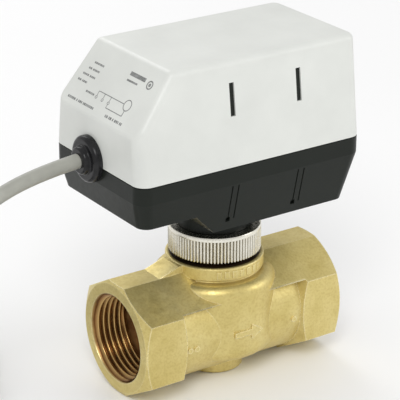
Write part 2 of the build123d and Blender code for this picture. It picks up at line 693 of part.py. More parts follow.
CAM_PLACE = (0.0, CAM_Z)
MOTOR_PLACE = (MOTOR_X, MOTOR_Z)


def idler_place():
    """Upper point at both gear distances from the cam axis and the motor axis."""
    to_cam = CAM_GEAR_RADIUS + PINION_RADIUS
    to_motor = IDLER_RADIUS + PINION_RADIUS
    dx = MOTOR_X
    dz = MOTOR_Z - CAM_Z
    span = math.hypot(dx, dz)
    along = (to_cam ** 2 - to_motor ** 2 + span ** 2) / (2 * span)
    aside = math.sqrt(to_cam ** 2 - along ** 2)
    return along * dx / span - aside * dz / span, CAM_Z + along * dz / span + aside * dx / span


IDLER_PLACE = idler_place()
IDLER_PIN_RADIUS = 1.2
SHAFT_RADIUS = 1.2
WHEEL_TIP = 0.7             # shortened tips so that the wheels clear the small pinions


def cam_gear():
    wheel = gear(CAM_TEETH, WHEEL_TIP, CAM_PLACE, CAM_GEAR_Y, IDLER_PLACE, ARBOR_RADIUS, True)
    for i in range(4):
        angle = math.radians(45 + 90 * i)
        wheel -= turned_to_y(9 * math.cos(angle), CAM_Z + 9 * math.sin(angle), 2.6, *CAM_GEAR_Y)
    return wheel


def switch_cam():
    """Small cam that works the two end switches; its lobe is a third of a turn."""
    x, z = CAM_PLACE
    low, high = SWITCH_CAM_Y
    disc = turned_to_y(x, z, SWITCH_CAM_RADIUS, low, CAM_GEAR_Y[0])
    lobe = turned_to_y(x, z, SWITCH_LOBE_RADIUS, low, high)
    half_plane = box_between((-10, low, z - 10), (10, high, z - 1))
    return disc + (lobe & half_plane) - turned_to_y(x, z, ARBOR_RADIUS, low, CAM_GEAR_Y[0])


def idler_pinion():
    return gear(PINION_TEETH, 1.0, IDLER_PLACE, IDLER_PINION_Y, CAM_PLACE, IDLER_PIN_RADIUS + PIVOT_FIT, False)


def idler_gear():
    x, z = IDLER_PLACE
    wheel = gear(IDLER_TEETH, WHEEL_TIP, IDLER_PLACE, IDLER_GEAR_Y, MOTOR_PLACE,
                 IDLER_PIN_RADIUS + PIVOT_FIT, True)
    collar = turned_to_y(x, z, 3.4, IDLER_GEAR_Y[1], IDLER_PINION_Y[0], IDLER_PIN_RADIUS + PIVOT_FIT)
    return wheel + collar


def idler_arbor():
    return turned_to_y(*IDLER_PLACE, IDLER_PIN_RADIUS, FRONT_PLATE_Y, MOTOR_FACE - 0.1)


# ---- Motor ------------------------------------------------------------------------------
MOTOR_EAR_ANGLES = (130.0, -50.0)
MOTOR_EAR_DISTANCE = MOTOR_RADIUS + 3.0
MOTOR_BOSS_RADIUS = 5.0


def motor_ears():
    places = []
    for angle in MOTOR_EAR_ANGLES:
        turn = math.radians(angle)
        places.append((MOTOR_X + MOTOR_EAR_DISTANCE * math.cos(turn),
                       MOTOR_Z + MOTOR_EAR_DISTANCE * math.sin(turn)))
    return places


def motor_end_plate():
    plate = turned_to_y(*MOTOR_PLACE, MOTOR_RADIUS, MOTOR_FACE, MOTOR_FACE + 1)
    for x, z in motor_ears():
        plate += turned_to_y(x, z, 2.8, MOTOR_FACE, MOTOR_FACE + 1)
        plate += turned_to_y((x + 3 * MOTOR_X) / 4, (z + 3 * MOTOR_Z) / 4, 2.8, MOTOR_FACE, MOTOR_FACE + 1)
        bridge = Rot(0, -math.degrees(math.atan2(z - MOTOR_Z, x - MOTOR_X)), 0) * Box(12, 1, 5.6)
        plate += Pos((x + MOTOR_X) / 2 + (x - MOTOR_X) * 0.28, MOTOR_FACE + 0.5,
                     (z + MOTOR_Z) / 2 + (z - MOTOR_Z) * 0.28) * bridge
    for x, z in motor_ears():
        plate -= turned_to_y(x, z, 1.3, MOTOR_FACE, MOTOR_FACE + 1)
    return plate - turned_to_y(*MOTOR_PLACE, SHAFT_RADIUS + PIVOT_FIT, MOTOR_FACE, MOTOR_FACE + 1)


def motor_can():
    back = MOTOR_FACE + MOTOR_DEPTH
    can = turned_to_y(*MOTOR_PLACE, MOTOR_RADIUS, MOTOR_FACE + 1, back)
    return can - turned_to_y(*MOTOR_PLACE, MOTOR_RADIUS - 0.8, MOTOR_FACE + 1, back - 0.8)


def motor_coil():
    return turned_to_y(*MOTOR_PLACE, MOTOR_RADIUS - 1, MOTOR_FACE + 2, MOTOR_FACE + MOTOR_DEPTH - 2, 11.0)


def motor_rotor():
    return turned_to_y(*MOTOR_PLACE, 10.4, MOTOR_FACE + 2.4, MOTOR_FACE + MOTOR_DEPTH - 2.4, SHAFT_RADIUS)


def motor_shaft():
    return turned_to_y(*MOTOR_PLACE, SHAFT_RADIUS, FRONT_PLATE_Y + 0.2, MOTOR_FACE + MOTOR_DEPTH - 1.4)


def motor_pinion():
    return gear(PINION_TEETH, 1.0, MOTOR_PLACE, IDLER_GEAR_Y, IDLER_PLACE, SHAFT_RADIUS, False)


# ---- Gear plates ------------------------------------------------------------------------
PILLAR_PLACES = ((-11.0, 74.2), (28.0, 73.8), (-11.0, 118.5), (30.0, 118.5))
PILLAR_SCREW_RADIUS = 1.2


def gear_plate(face_y, right, foot_side, foot_length):
    """Steel plate on edge with a foot folded towards one side."""
    low = face_y
    high = face_y + PLATE_THICKNESS
    plate = box_between((PLATE_LEFT, low, PLATE_FOOT_Z), (right, high, PLATE_TOP))
    foot_y = (low, high + foot_length) if foot_side > 0 else (low - foot_length, high)
    plate += box_between((PLATE_LEFT, foot_y[0], PLATE_FOOT_Z), (right, foot_y[1], PLATE_FOOT_Z + PLATE_THICKNESS))
    for x, y in PLATE_SCREWS:
        plate -= Pos(x, y, 0) * rod(1.3, PLATE_FOOT_Z - 1, PLATE_FOOT_Z + 3)
    plate -= turned_to_y(*CAM_PLACE, ARBOR_RADIUS + PIVOT_FIT, low, high)
    plate -= turned_to_y(*IDLER_PLACE, IDLER_PIN_RADIUS, low, high)
    return plate


def rear_gear_plate():
    plate = gear_plate(REAR_PLATE_Y, 38.0, 1, 9.5)
    plate -= turned_to_y(*MOTOR_PLACE, MOTOR_BOSS_RADIUS, REAR_PLATE_Y, MOTOR_FACE)
    for x, z in motor_ears():
        plate -= turned_to_y(x, z, 1.3, REAR_PLATE_Y, MOTOR_FACE)
    return plate


def front_gear_plate():
    plate = gear_plate(FRONT_PLATE_Y, 33.0, -1, 6.3)
    high = FRONT_PLATE_Y + PLATE_THICKNESS
    plate -= turned_to_y(*MOTOR_PLACE, SHAFT_RADIUS + PIVOT_FIT, FRONT_PLATE_Y, high)
    for x, z in PILLAR_PLACES:
        plate -= turned_to_y(x, z, PILLAR_SCREW_RADIUS, FRONT_PLATE_Y, high)
    return plate


def plate_pillars():
    low = FRONT_PLATE_Y + PLATE_THICKNESS
    pillars = []
    for x, z in PILLAR_PLACES:
        pillar = turned_to_y(x, z, PILLAR_RADIUS, low, REAR_PLATE_Y)
        pillars.append(pillar - turned_to_y(x, z, PILLAR_SCREW_RADIUS, low, low + 5))
    return pillars


def screw(length, shank, head, head_height):
    """Pan-head screw with a cross recess, head up, its seat at the origin."""
    body = turned((0, -length), (shank, -length + 0.4), (shank, 0), (head, 0), (head, head_height * 0.6),
                  (head * 0.7, head_height), (0, head_height))
    cut = Pos(0, 0, head_height) * (Box(head * 1.1, 0.5, head_height) + Box(0.5, head * 1.1, head_height))
    return body - cut


def pillar_screws():
    shape = screw(4.5, PILLAR_SCREW_RADIUS, 2.1, 1.4)
    return [Pos(x, FRONT_PLATE_Y, z) * Rot(90, 0, 0) * shape for x, z in PILLAR_PLACES]


def motor_screws():
    shape = screw(PLATE_THICKNESS + 1, 1.3, 2.2, 1.3)
    return [Pos(x, REAR_PLATE_Y, z) * Rot(90, 0, 0) * shape for x, z in motor_ears()]


def plate_screws():
    shape = screw(2.5, 0.9, 2.1, 1.4)
    return [Pos(x, y, PLATE_FOOT_Z + PLATE_THICKNESS) * shape for x, y in PLATE_SCREWS]


# ---- Electrical parts -------------------------------------------------------------------
BOARD_THICKNESS = 1.6
TERMINAL_X = (-32.0, -23.5)
TERMINAL_PLACES = (-6.0, 0.0, 6.0)
TERMINAL_TOP = BOARD_Z + BOARD_THICKNESS + 8.5


def circuit_board():
    board = box_between((BOARD_X[0], -BOARD_HALF, BOARD_Z), (BOARD_X[1], BOARD_HALF, BOARD_Z + BOARD_THICKNESS))
    for x, y in BOARD_SCREWS:
        board -= Pos(x, y, 0) * rod(1.2, BOARD_Z, BOARD_Z + BOARD_THICKNESS)
    return board


def board_screws():
    shape = screw(3.5, 0.9, 1.9, 1.3)
    return [Pos(x, y, BOARD_Z + BOARD_THICKNESS) * shape for x, y in BOARD_SCREWS]


def terminal_block():
    low = BOARD_Z + BOARD_THICKNESS
    block = box_between((TERMINAL_X[0], -9.2, low), (TERMINAL_X[1], 9.2, TERMINAL_TOP))
    middle = sum(TERMINAL_X) / 2
    for y in TERMINAL_PLACES:
        block -= Pos(middle, y, 0) * rod(1.6, low + 4.5, TERMINAL_TOP)
        block -= box_between((TERMINAL_X[0], y - 1.4, low + 1), (TERMINAL_X[0] + 4, y + 1.4, low + 4))
    return block


def terminal_screws():
    middle = sum(TERMINAL_X) / 2
    low = BOARD_Z + BOARD_THICKNESS + 4.5
    shape = rod(1.55, low, low + 2.6) - Pos(0, 0, low + 2.6) * Box(4, 0.6, 1.4)
    return [Pos(middle, y, 0) * shape for y in TERMINAL_PLACES]


def cable_inner():
    """Sheathed end of the cable inside the case, from the grommet to the clamp."""
    return Pos(0, GROMMET_Y, CORD_Z) * Rot(0, 90, 0) * rod(CORD_RADIUS, CASE_LEFT + CASE_WALL + 2.5,
                                                           CABLE_BLOCK_X[1] + 1)


def cable_clamp():
    low_x, high_x = CABLE_BLOCK_X
    bar = box_between((low_x + 0.5, GROMMET_Y - 9, CORD_Z + 0.6), (high_x - 0.5, GROMMET_Y + 9, CORD_Z + 2.4))
    bar += Pos(0, GROMMET_Y, CORD_Z) * Rot(0, 90, 0) * (rod(CORD_RADIUS + 1.6, low_x + 0.5, high_x - 0.5))
    bar -= box_between((low_x, -20, CORD_Z - 10), (high_x, 30, CORD_Z + 0.6))
    bar -= Pos(0, GROMMET_Y, CORD_Z) * Rot(0, 90, 0) * rod(CORD_RADIUS, low_x, high_x)
    for side in (-1, 1):
        place = GROMMET_Y + side * CLAMP_SCREW_OFFSET
        bar -= Pos(sum(CABLE_BLOCK_X) / 2, place, 0) * rod(1.2, CORD_Z, CORD_Z + 5)
    return bar


def clamp_screws():
    shape = screw(1.8, 1.2, 2.0, 1.3)
    middle = sum(CABLE_BLOCK_X) / 2
    return [Pos(middle, GROMMET_Y + side * CLAMP_SCREW_OFFSET, CORD_Z + 2.4) * shape for side in (-1, 1)]


GROMMET_WAIST = GROMMET_RADIUS - 1.3


def cable_grommet():
    """Rubber grommet held in the end wall, with a domed flange and a hub that grips the cable."""
    wall_out = -CASE_LEFT
    wall_in = -CASE_LEFT - CASE_WALL - GROMMET_FIT
    flange = wall_out + 3.0
    nose = wall_out + GROMMET_REACH
    points = [(CORD_RADIUS, wall_in - 2.0), (GROMMET_RADIUS - 0.4, wall_in - 2.0), (GROMMET_RADIUS - 0.4, wall_in),
              (GROMMET_WAIST, wall_in), (GROMMET_WAIST, wall_out), (GROMMET_RADIUS, wall_out),
              (GROMMET_RADIUS, flange), (CORD_RADIUS + 2.6, flange), (CORD_RADIUS + 2.2, nose),
              (CORD_RADIUS, nose)]
    rounds = [0, 0.6, 0, 0, 0, 0, 1.6, 0.6, 1.0, 0]
    body = revolve(Plane.XZ * make_face(FilletPolyline(*points, radius=rounds, close=True)), Axis.Z)
    return Pos(0, GROMMET_Y, CORD_Z) * Rot(0, -90, 0) * body


def smooth_wire(points, radius):
    """Round wire along straight runs joined by arcs as large as the runs allow."""
    path = FilletPolyline(*points, radius=corner_radii(points))
    return sweep(Plane(path @ 0, z_dir=path % 0) * Circle(radius), path=path), path.length


def corner_radii(points):
    """Arc radius at each inner point: 0.45 of the shorter run over the tangent of half the turn."""
    radii = []
    for before, here, after in zip(points, points[1:], points[2:]):
        first = Vector(*here) - Vector(*before)
        second = Vector(*after) - Vector(*here)
        turn = math.radians(first.get_angle(second))
        radii.append(0.45 * min(first.length, second.length) / math.tan(turn / 2))
    return radii


def internal_leads():
    """Three cores from the clamp to the terminal block."""
    start_x = CABLE_BLOCK_X[1] + 1.05
    end_z = BOARD_Z + BOARD_THICKNESS + 2.5
    leads = []
    for offset, y in zip((-1.5, 0.0, 1.5), TERMINAL_PLACES):
        height = CORD_Z + (0.7 if offset == 0 else -0.5)
        route = [(start_x, GROMMET_Y + offset, height), (start_x + 1.6, GROMMET_Y + offset * 1.1, height - 0.2),
                 (start_x + 2.6, (GROMMET_Y + offset + y) / 2, (height + end_z) / 2 + 0.6),
                 (start_x + 3.0, y, end_z + 0.4), (TERMINAL_X[0] + 2, y, end_z)]
        leads.append(smooth_wire(route, 0.6)[0])
    return leads


def motor_leads():
    """Two wires from the board to the motor can."""
    leads = []
    can_x = MOTOR_X - MOTOR_RADIUS - 0.1
    for y in (10.5, 13.0):
        route = [(BOARD_X[1] - 2, y, BOARD_Z + BOARD_THICKNESS + 0.05), (BOARD_X[1] - 1.6, y, BOARD_Z + 8),
                 (BOARD_X[1] + 4, y + 0.3, MOTOR_Z - 1), (can_x, y, MOTOR_Z)]
        leads.append(smooth_wire(route, 0.55)[0])
    return leads


SWITCH_X = (-17.5, -9.2)
SWITCH_HEIGHT = 6.4
SWITCH_LOWS = (CAM_Z - 8.0, CAM_Z + 1.6)
LEVER_X = -SWITCH_LOBE_RADIUS - 0.75
LEVER_THICKNESS = 0.35
LEVER_Y = (-12.4, -10.0)


def end_switches():
    """Two small snap switches that stop the motor at the ends of the cam travel."""
    bodies = []
    for low in SWITCH_LOWS:
        body = box_between((SWITCH_X[0], FRONT_PLATE_Y + PLATE_THICKNESS, low),
                           (SWITCH_X[1], CAM_GEAR_Y[0] - 0.4, low + SWITCH_HEIGHT))
        button_y = sum(LEVER_Y) / 2
        button = Pos(0, button_y, low + 3.6) * Rot(0, 90, 0) * rod(0.6, SWITCH_X[1], SWITCH_X[1] + 1.0)
        bodies.append(body + button)
    return bodies


def switch_lever(low):
    """Leaf lever hinged at the foot of a switch, standing in front of its button."""
    leaf = box_between((LEVER_X - LEVER_THICKNESS, LEVER_Y[0], low + 0.6), (LEVER_X, LEVER_Y[1], low + 6.0))
    knuckle_x = SWITCH_X[1] + 0.05 + LEVER_KNUCKLE_RADIUS
    foot = box_between((knuckle_x, LEVER_Y[0], low + 0.2), (LEVER_X, LEVER_Y[1], low + 0.6))
    return leaf + foot + turned_to_y(knuckle_x, low + LEVER_KNUCKLE_RADIUS, LEVER_KNUCKLE_RADIUS, *LEVER_Y)


# ---- Cable outside ----------------------------------------------------------------------
CORD_ROUTE = [(CASE_LEFT - GROMMET_REACH, GROMMET_Y, CORD_Z), (-75.2, 2.8, 92.2), (-95.5, 3.0, 85.0),
              (-109.5, 5.5, 73.0), (-118.5, 9.8, 58.5), (-124.5, 16.0, 44.0), (-129.0, 24.5, 31.5),
              (-131.3, 36.5, 23.0), (-131.8, 49.9, 18.6)]
COIL_RING_INNER = (COIL_DIAMETER - CORD_DIAMETER) / 2
COIL_RING_OUTER = (COIL_DIAMETER + CORD_DIAMETER) / 2
TAIL_ANGLE = 90.0


def cord_tube():
    wire, length = smooth_wire(CORD_ROUTE, CORD_RADIUS)
    radii = ", ".join(f"{r:.0f}" for r in corner_radii(CORD_ROUTE))
    print(f"cord tube: length {length:.1f}, radii {radii}, "
          f"volume over section times length {wire.volume / (math.pi * CORD_RADIUS ** 2 * length):.4f}")
    return wire


def cord_coil():
    ring = tube(COIL_RING_OUTER, COIL_RING_INNER, 0, COIL_LAYERS * CORD_DIAMETER)
    return Pos(*COIL_CENTRE, 0) * ring


def tail_frame():
    """Plane at the point where the tail leaves the coil, its normal along the tail."""
    turn = math.radians(TAIL_ANGLE)
    radius = COIL_RING_OUTER - CORD_RADIUS
    along = Vector(math.sin(turn), -math.cos(turn), 0)
    start = Vector(COIL_CENTRE[0] + radius * math.cos(turn), COIL_CENTRE[1] + radius * math.sin(turn), CORD_RADIUS)
    return Plane(start, x_dir=(0, 0, 1), z_dir=along)


def cord_tail():
    return tail_frame() * rod(CORD_RADIUS, 0, TAIL_LENGTH)


def cord_cores():
    """Three stripped cores with ferrules at the free end."""
    frame = tail_frame()
    cores = []
    for i in range(3):
        angle = math.radians(120 * i)
        offset = Pos(1.25 * math.cos(angle), 1.25 * math.sin(angle), TAIL_LENGTH)
        core = rod(CORE_DIAMETER / 2, 0, CORE_LENGTH) + rod(0.6, CORE_LENGTH, CORE_LENGTH + 6)
        cores.append(frame * offset * core)
    return cores


PARTS = {
    "valve_body": valve_body,
    "bonnet_insert": bonnet_insert,
    "bonnet_o_ring": bonnet_o_ring,
    "gland_nut": gland_nut,
    "stem_o_ring": stem_o_ring,
    "valve_stem": valve_stem,
    "disc_holder": disc_holder,
    "disc_seal": disc_seal,
    "disc_nut": disc_nut,
    "spring_cap": spring_cap,
    "return_spring": return_spring,
    "coupling_nut": coupling_nut,
    "retaining_ring": retaining_ring,
    "base_housing": base_housing,
    "cover": cover,
    "guide_bush": guide_bush,
    "plunger": plunger,
    "roller_pin": roller_pin,
    "follower_roller": follower_roller,
    "cam_arbor": cam_arbor,
    "plunger_cam": plunger_cam,
    "cam_gear": cam_gear,
    "switch_cam": switch_cam,
    "idler_pinion": idler_pinion,
    "idler_gear": idler_gear,
    "idler_arbor": idler_arbor,
    "motor_end_plate": motor_end_plate,
    "motor_can": motor_can,
    "motor_coil": motor_coil,
    "motor_rotor": motor_rotor,
    "motor_shaft": motor_shaft,
    "motor_pinion": motor_pinion,
    "rear_gear_plate": rear_gear_plate,
    "front_gear_plate": front_gear_plate,
    "plate_pillars": plate_pillars,
    "pillar_screws": pillar_screws,
    "motor_screws": motor_screws,
    "plate_screws": plate_screws,
    "circuit_board": circuit_board,
    "board_screws": board_screws,
    "terminal_block": terminal_block,
    "terminal_screws": terminal_screws,
    "cable_inner": cable_inner,
    "cable_clamp": cable_clamp,
    "clamp_screws": clamp_screws,
    "cable_grommet": cable_grommet,
    "internal_leads": internal_leads,
    "motor_leads": motor_leads,
    "end_switches": end_switches,
    "switch_lever_lower": lambda: switch_lever(SWITCH_LOWS[0]),
    "switch_lever_upper": lambda: switch_lever(SWITCH_LOWS[1]),
    "cord_tube": cord_tube,
    "cord_coil": cord_coil,
    "cord_tail": cord_tail,
    "cord_cores": cord_cores,
}


def main():
    os.makedirs("parts", exist_ok=True)
    for node, make in PARTS.items():
        shape = make()
        if isinstance(shape, list):
            shape = Compound(children=shape)
        export_step(shape, f"parts/{node}.step")


main()
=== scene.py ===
import json
import math
import random

import bmesh
import bpy
from mathutils import Matrix, Vector


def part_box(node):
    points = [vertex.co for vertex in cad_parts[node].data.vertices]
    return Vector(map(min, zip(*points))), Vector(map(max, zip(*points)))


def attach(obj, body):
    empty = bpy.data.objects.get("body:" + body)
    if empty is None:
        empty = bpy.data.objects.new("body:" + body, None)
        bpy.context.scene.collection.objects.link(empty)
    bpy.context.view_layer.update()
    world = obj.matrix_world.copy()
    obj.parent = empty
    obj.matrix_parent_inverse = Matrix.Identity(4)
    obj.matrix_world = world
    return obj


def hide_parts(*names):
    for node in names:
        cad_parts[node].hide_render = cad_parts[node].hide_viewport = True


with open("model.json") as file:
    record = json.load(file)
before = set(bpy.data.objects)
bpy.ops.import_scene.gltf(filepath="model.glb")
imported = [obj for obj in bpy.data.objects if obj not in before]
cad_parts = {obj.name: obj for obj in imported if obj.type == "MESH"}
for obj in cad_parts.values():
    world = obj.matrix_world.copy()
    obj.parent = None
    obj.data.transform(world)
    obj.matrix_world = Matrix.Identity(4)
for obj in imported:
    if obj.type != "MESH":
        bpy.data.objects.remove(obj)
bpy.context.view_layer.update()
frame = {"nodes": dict(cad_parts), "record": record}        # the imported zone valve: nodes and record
NODES = frame["nodes"]
RECORD = frame["record"]
MOUNTS = {mount["name"]: mount for mount in RECORD["mounts"]}
MM = 0.001
SCENE = bpy.context.scene


# ---- Camera -----------------------------------------------------------------------------
CAMERA_AZIMUTH = math.radians(34.38)
CAMERA_ELEVATION = math.radians(22.89)
CAMERA_ROLL = math.radians(0.23)
CAMERA_DISTANCE = 0.6899
CAMERA_TARGET = Vector((-0.00657, 0.0, 0.06818))
CAMERA_LENS = 168.8


def make_camera():
    """Long lens from the front left, a little above the object."""
    flat = math.cos(CAMERA_ELEVATION)
    back = Vector((-math.sin(CAMERA_AZIMUTH) * flat, -math.cos(CAMERA_AZIMUTH) * flat,
                   math.sin(CAMERA_ELEVATION)))
    right = Vector((0, 0, 1)).cross(back).normalized()
    up = back.cross(right)
    turn_right = right * math.cos(CAMERA_ROLL) + up * math.sin(CAMERA_ROLL)
    turn_up = up * math.cos(CAMERA_ROLL) - right * math.sin(CAMERA_ROLL)
    axes = Matrix((turn_right, turn_up, back)).transposed().to_4x4()
    data = bpy.data.cameras.new("camera")
    data.lens = CAMERA_LENS
    data.sensor_width = 36
    data.clip_start = 0.01
    data.clip_end = 20
    camera = bpy.data.objects.new("camera", data)
    camera.matrix_world = Matrix.Translation(CAMERA_TARGET + back * CAMERA_DISTANCE) @ axes
    SCENE.collection.objects.link(camera)
    SCENE.camera = camera


make_camera()


# ---- Node helpers -----------------------------------------------------------------------
NOISE_ROUGHNESS = 0.55


class Surface:
    """A material with one principled shader, and short calls for the nodes that feed it."""

    def __init__(self, name, color, roughness, metallic=0.0):
        self.material = bpy.data.materials.new(name)
        self.material.use_nodes = True
        self.tree = self.material.node_tree
        self.shader = self.tree.nodes["Principled BSDF"]
        self.shader.inputs["Base Color"].default_value = (*color, 1)
        self.shader.inputs["Roughness"].default_value = roughness
        self.shader.inputs["Metallic"].default_value = metallic
        self.place = self.tree.nodes.new("ShaderNodeTexCoord").outputs["Object"]
        self.height = None

    def node(self, kind, **settings):
        made = self.tree.nodes.new(kind)
        for key, value in settings.items():
            setattr(made, key, value)
        return made

    def link(self, source, target):
        self.tree.links.new(source, target)

    def set(self, **values):
        """Values of shader inputs, with underscores for the spaces in their names."""
        for key, value in values.items():
            self.shader.inputs[key.replace("_", " ")].default_value = value

    def noise(self, size, detail=3.0, stretch=(1, 1, 1)):
        """Noise whose features are about size metres across, stretched along an axis."""
        mapping = self.node("ShaderNodeMapping")
        mapping.inputs["Scale"].default_value = stretch
        self.link(self.place, mapping.inputs["Vector"])
        made = self.node("ShaderNodeTexNoise")
        made.inputs["Scale"].default_value = 1 / size
        made.inputs["Detail"].default_value = detail
        made.inputs["Roughness"].default_value = NOISE_ROUGHNESS
        self.link(mapping.outputs["Vector"], made.inputs["Vector"])
        return made.outputs["Fac"]

    def cells(self, size):
        """Distance to the middle of the nearest crystal, for crystals about size metres across."""
        made = self.node("ShaderNodeTexVoronoi")
        made.inputs["Scale"].default_value = 1 / size
        self.link(self.place, made.inputs["Vector"])
        return made.outputs["Distance"]

    def ramp(self, factor, *stops):
        """Colour ramp from (position, colour) stops."""
        made = self.node("ShaderNodeValToRGB")
        band = made.color_ramp.elements
        while len(band) < len(stops):
            band.new(0.5)
        for element, (position, color) in zip(band, stops):
            element.position = position
            element.color = (*color, 1)
        self.link(factor, made.inputs["Fac"])
        return made.outputs["Color"]

    def span(self, factor, low, high, out_low, out_high):
        """Value stretched from low..high to out_low..out_high and held at both ends."""
        made = self.node("ShaderNodeMapRange")
        for key, value in zip(("From Min", "From Max", "To Min", "To Max"), (low, high, out_low, out_high)):
            made.inputs[key].default_value = value
        self.link(factor, made.inputs["Value"])
        return made.outputs["Result"]

    def math(self, operation, first, second):
        made = self.node("ShaderNodeMath", operation=operation)
        for socket, value in zip(made.inputs, (first, second)):
            if isinstance(value, (int, float)):
                socket.default_value = value
            else:
                self.link(value, socket)
        return made.outputs["Value"]

    def blend(self, factor, first, second):
        """Mix of two colours; each is a tuple or a socket."""
        made = self.node("ShaderNodeMix", data_type="RGBA")
        for socket, value in ((made.inputs[6], first), (made.inputs[7], second)):
            if isinstance(value, tuple):
                socket.default_value = (*value, 1)
            else:
                self.link(value, socket)
        self.link(factor, made.inputs[0])
        return made.outputs[2]

    def axes(self):
        """The three object coordinates, which are the shared frame's."""
        made = self.node("ShaderNodeSeparateXYZ")
        self.link(self.place, made.inputs[0])
        return made.outputs

    def radius(self, first, second):
        """Distance from an axis, from the two coordinates across it."""
        squares = self.math("ADD", self.math("MULTIPLY", first, first), self.math("MULTIPLY", second, second))
        return self.math("SQRT", squares, 0)

    def color(self, source):
        self.link(source, self.shader.inputs["Base Color"])

    def rough(self, source):
        self.link(source, self.shader.inputs["Roughness"])

    def bump(self, source, depth, strength=1.0):
        """Add one layer of relief, depth metres from low to high."""
        made = self.node("ShaderNodeBump")
        made.inputs["Strength"].default_value = strength
        made.inputs["Distance"].default_value = depth
        self.link(source, made.inputs["Height"])
        if self.height is not None:
            self.link(self.height, made.inputs["Normal"])
        self.height = made.outputs["Normal"]
        self.link(self.height, self.shader.inputs["Normal"])

    def edges(self, radius):
        """About 1 on sharp edges and 0 on flats, from the rounded and the true normal."""
        bevel = self.node("ShaderNodeBevel", samples=4)
        bevel.inputs["Radius"].default_value = radius
        true = self.node("ShaderNodeNewGeometry").outputs["Normal"]
        dot = self.node("ShaderNodeVectorMath", operation="DOT_PRODUCT")
        self.link(bevel.outputs["Normal"], dot.inputs[0])
        self.link(true, dot.inputs[1])
        return self.span(dot.outputs["Value"], 0.995, 0.86, 0.0, 1.0)


# ---- Materials --------------------------------------------------------------------------
PIPE_Z = MOUNTS["port_a"]["pos_m"][2]
THREAD_RADIUS = MOUNTS["port_a"]["dims"]["r_mm"] * MM
GAP_LOW = 46.8 * MM         # top of the cast ring, where the gap under the nut begins
GAP_HIGH = 48.8 * MM
# painted shade: dark brown colour for the gap between the cast ring and the nut, where shade falls
GAP_PAINTED_SHADE = (0.045, 0.026, 0.012)
KNURL_TOP = 56.9 * MM       # height where the serrations of the nut end


def bore_mask(surface):
    """1 on the threaded bores and the water way, 0 on the outside of the body."""
    x, y, z = surface.axes()
    radius = surface.radius(y, surface.math("SUBTRACT", z, PIPE_Z))
    inside = surface.span(radius, THREAD_RADIUS + 0.0006, THREAD_RADIUS + 0.0001, 0.0, 1.0)
    along = surface.math("ABSOLUTE", x, 0)
    deep = surface.span(along, 0.0237, 0.0240, 0.0, 1.0)
    return surface.math("MULTIPLY", inside, deep)


def forged_brass(name="forged_brass"):
    """Blasted forging: grainy facets, edges rubbed bright, bores darkened by brown oil stain and painted shade,
    painted shade in the gap under the nut.
    """
    s = Surface(name, (0.66, 0.53, 0.22), 0.4, 0.68)
    clouds = s.noise(14 * MM, 4.0)
    skin = s.ramp(clouds, (0.3, (0.59, 0.475, 0.165)), (0.55, (0.69, 0.575, 0.235)),
                  (0.8, (0.73, 0.625, 0.29)))
    speck = s.ramp(s.noise(0.9 * MM, 2.0), (0.32, (0.78, 0.70, 0.55)), (0.55, (1, 1, 1)))
    shade = s.node("ShaderNodeMix", data_type="RGBA", blend_type="MULTIPLY")
    shade.inputs[0].default_value = 0.45
    s.link(skin, shade.inputs[6])
    s.link(speck, shade.inputs[7])
    worn = s.edges(0.7 * MM)
    bright = s.blend(worn, shade.outputs[2], (0.90, 0.80, 0.48))
    bores = bore_mask(s)
    # bores: brown oil stain, darkened further as painted shade inside the recess
    oil_and_shade = s.ramp(s.noise(5 * MM, 3.0, (0.5, 1, 1)), (0.35, (0.19, 0.080, 0.022)), (0.7, (0.36, 0.19, 0.060)))
    x, y, z = s.axes()
    # painted shade on the brass above the top of the cast ring, inside the nut
    shade_under_nut = s.math("MULTIPLY", s.span(z, GAP_LOW - 0.3 * MM, GAP_LOW, 0.0, 1.0),
                       s.span(s.radius(x, y), 17.7 * MM, 16.9 * MM, 0.0, 1.0))
    s.color(s.blend(shade_under_nut, s.blend(bores, bright, oil_and_shade), GAP_PAINTED_SHADE))
    dull = s.span(s.noise(3 * MM, 3.0), 0.3, 0.7, 0.34, 0.50)
    s.rough(s.math("SUBTRACT", dull, s.math("MULTIPLY", worn, 0.14)))
    s.bump(s.noise(0.75 * MM, 3.0), 0.11 * MM, 0.55)
    s.bump(s.noise(6 * MM, 2.0), 0.25 * MM, 0.35)
    s.bump(s.noise(0.25 * MM, 2.0), 0.03 * MM, 0.4)
    return s.material


def turned_brass(name="turned_brass"):
    """Brass with fine rings from the lathe, with painted shade in the gap under the nut."""
    s = Surface(name, (0.74, 0.55, 0.22), 0.28, 1.0)
    z = s.axes()[2]
    # painted shade on the turned brass in the gap under the nut
    gap_shade = s.math("MULTIPLY", s.span(z, GAP_LOW - 0.4 * MM, GAP_LOW - 0.2 * MM, 0.0, 1.0),
                    s.span(z, GAP_HIGH + 0.3 * MM, GAP_HIGH, 0.0, 1.0))
    skin = s.ramp(s.noise(5 * MM), (0.3, (0.68, 0.49, 0.18)), (0.7, (0.80, 0.62, 0.27)))
    s.color(s.blend(gap_shade, skin, GAP_PAINTED_SHADE))
    s.rough(s.span(s.noise(2 * MM), 0.3, 0.7, 0.22, 0.36))
    s.bump(s.noise(0.4 * MM, 1.0, (0.02, 0.02, 1)), 0.02 * MM, 0.6)
    return s.material


def nickel_plate(name="nickel_plate"):
    """Satin nickel on brass: warm silver with a cloudy gloss, with painted shade in the roots of the serrations."""
    s = Surface(name, (0.74, 0.71, 0.62), 0.24, 1.0)
    x, y, z = s.axes()
    # painted shade in the roots of the serrations
    root = s.math("MULTIPLY", s.span(s.radius(x, y), 17.34 * MM, 17.08 * MM, 0.0, 1.0),
                  s.span(z, KNURL_TOP + 0.1 * MM, KNURL_TOP, 0.0, 1.0))
    plate = s.ramp(s.noise(4 * MM), (0.3, (0.74, 0.71, 0.61)), (0.7, (0.84, 0.82, 0.74)))
    s.color(s.blend(root, plate, (0.36, 0.33, 0.26)))
    s.rough(s.span(s.noise(1.5 * MM, 4.0), 0.3, 0.7, 0.18, 0.34))
    s.bump(s.noise(0.3 * MM, 2.0), 0.015 * MM, 0.5)
    return s.material


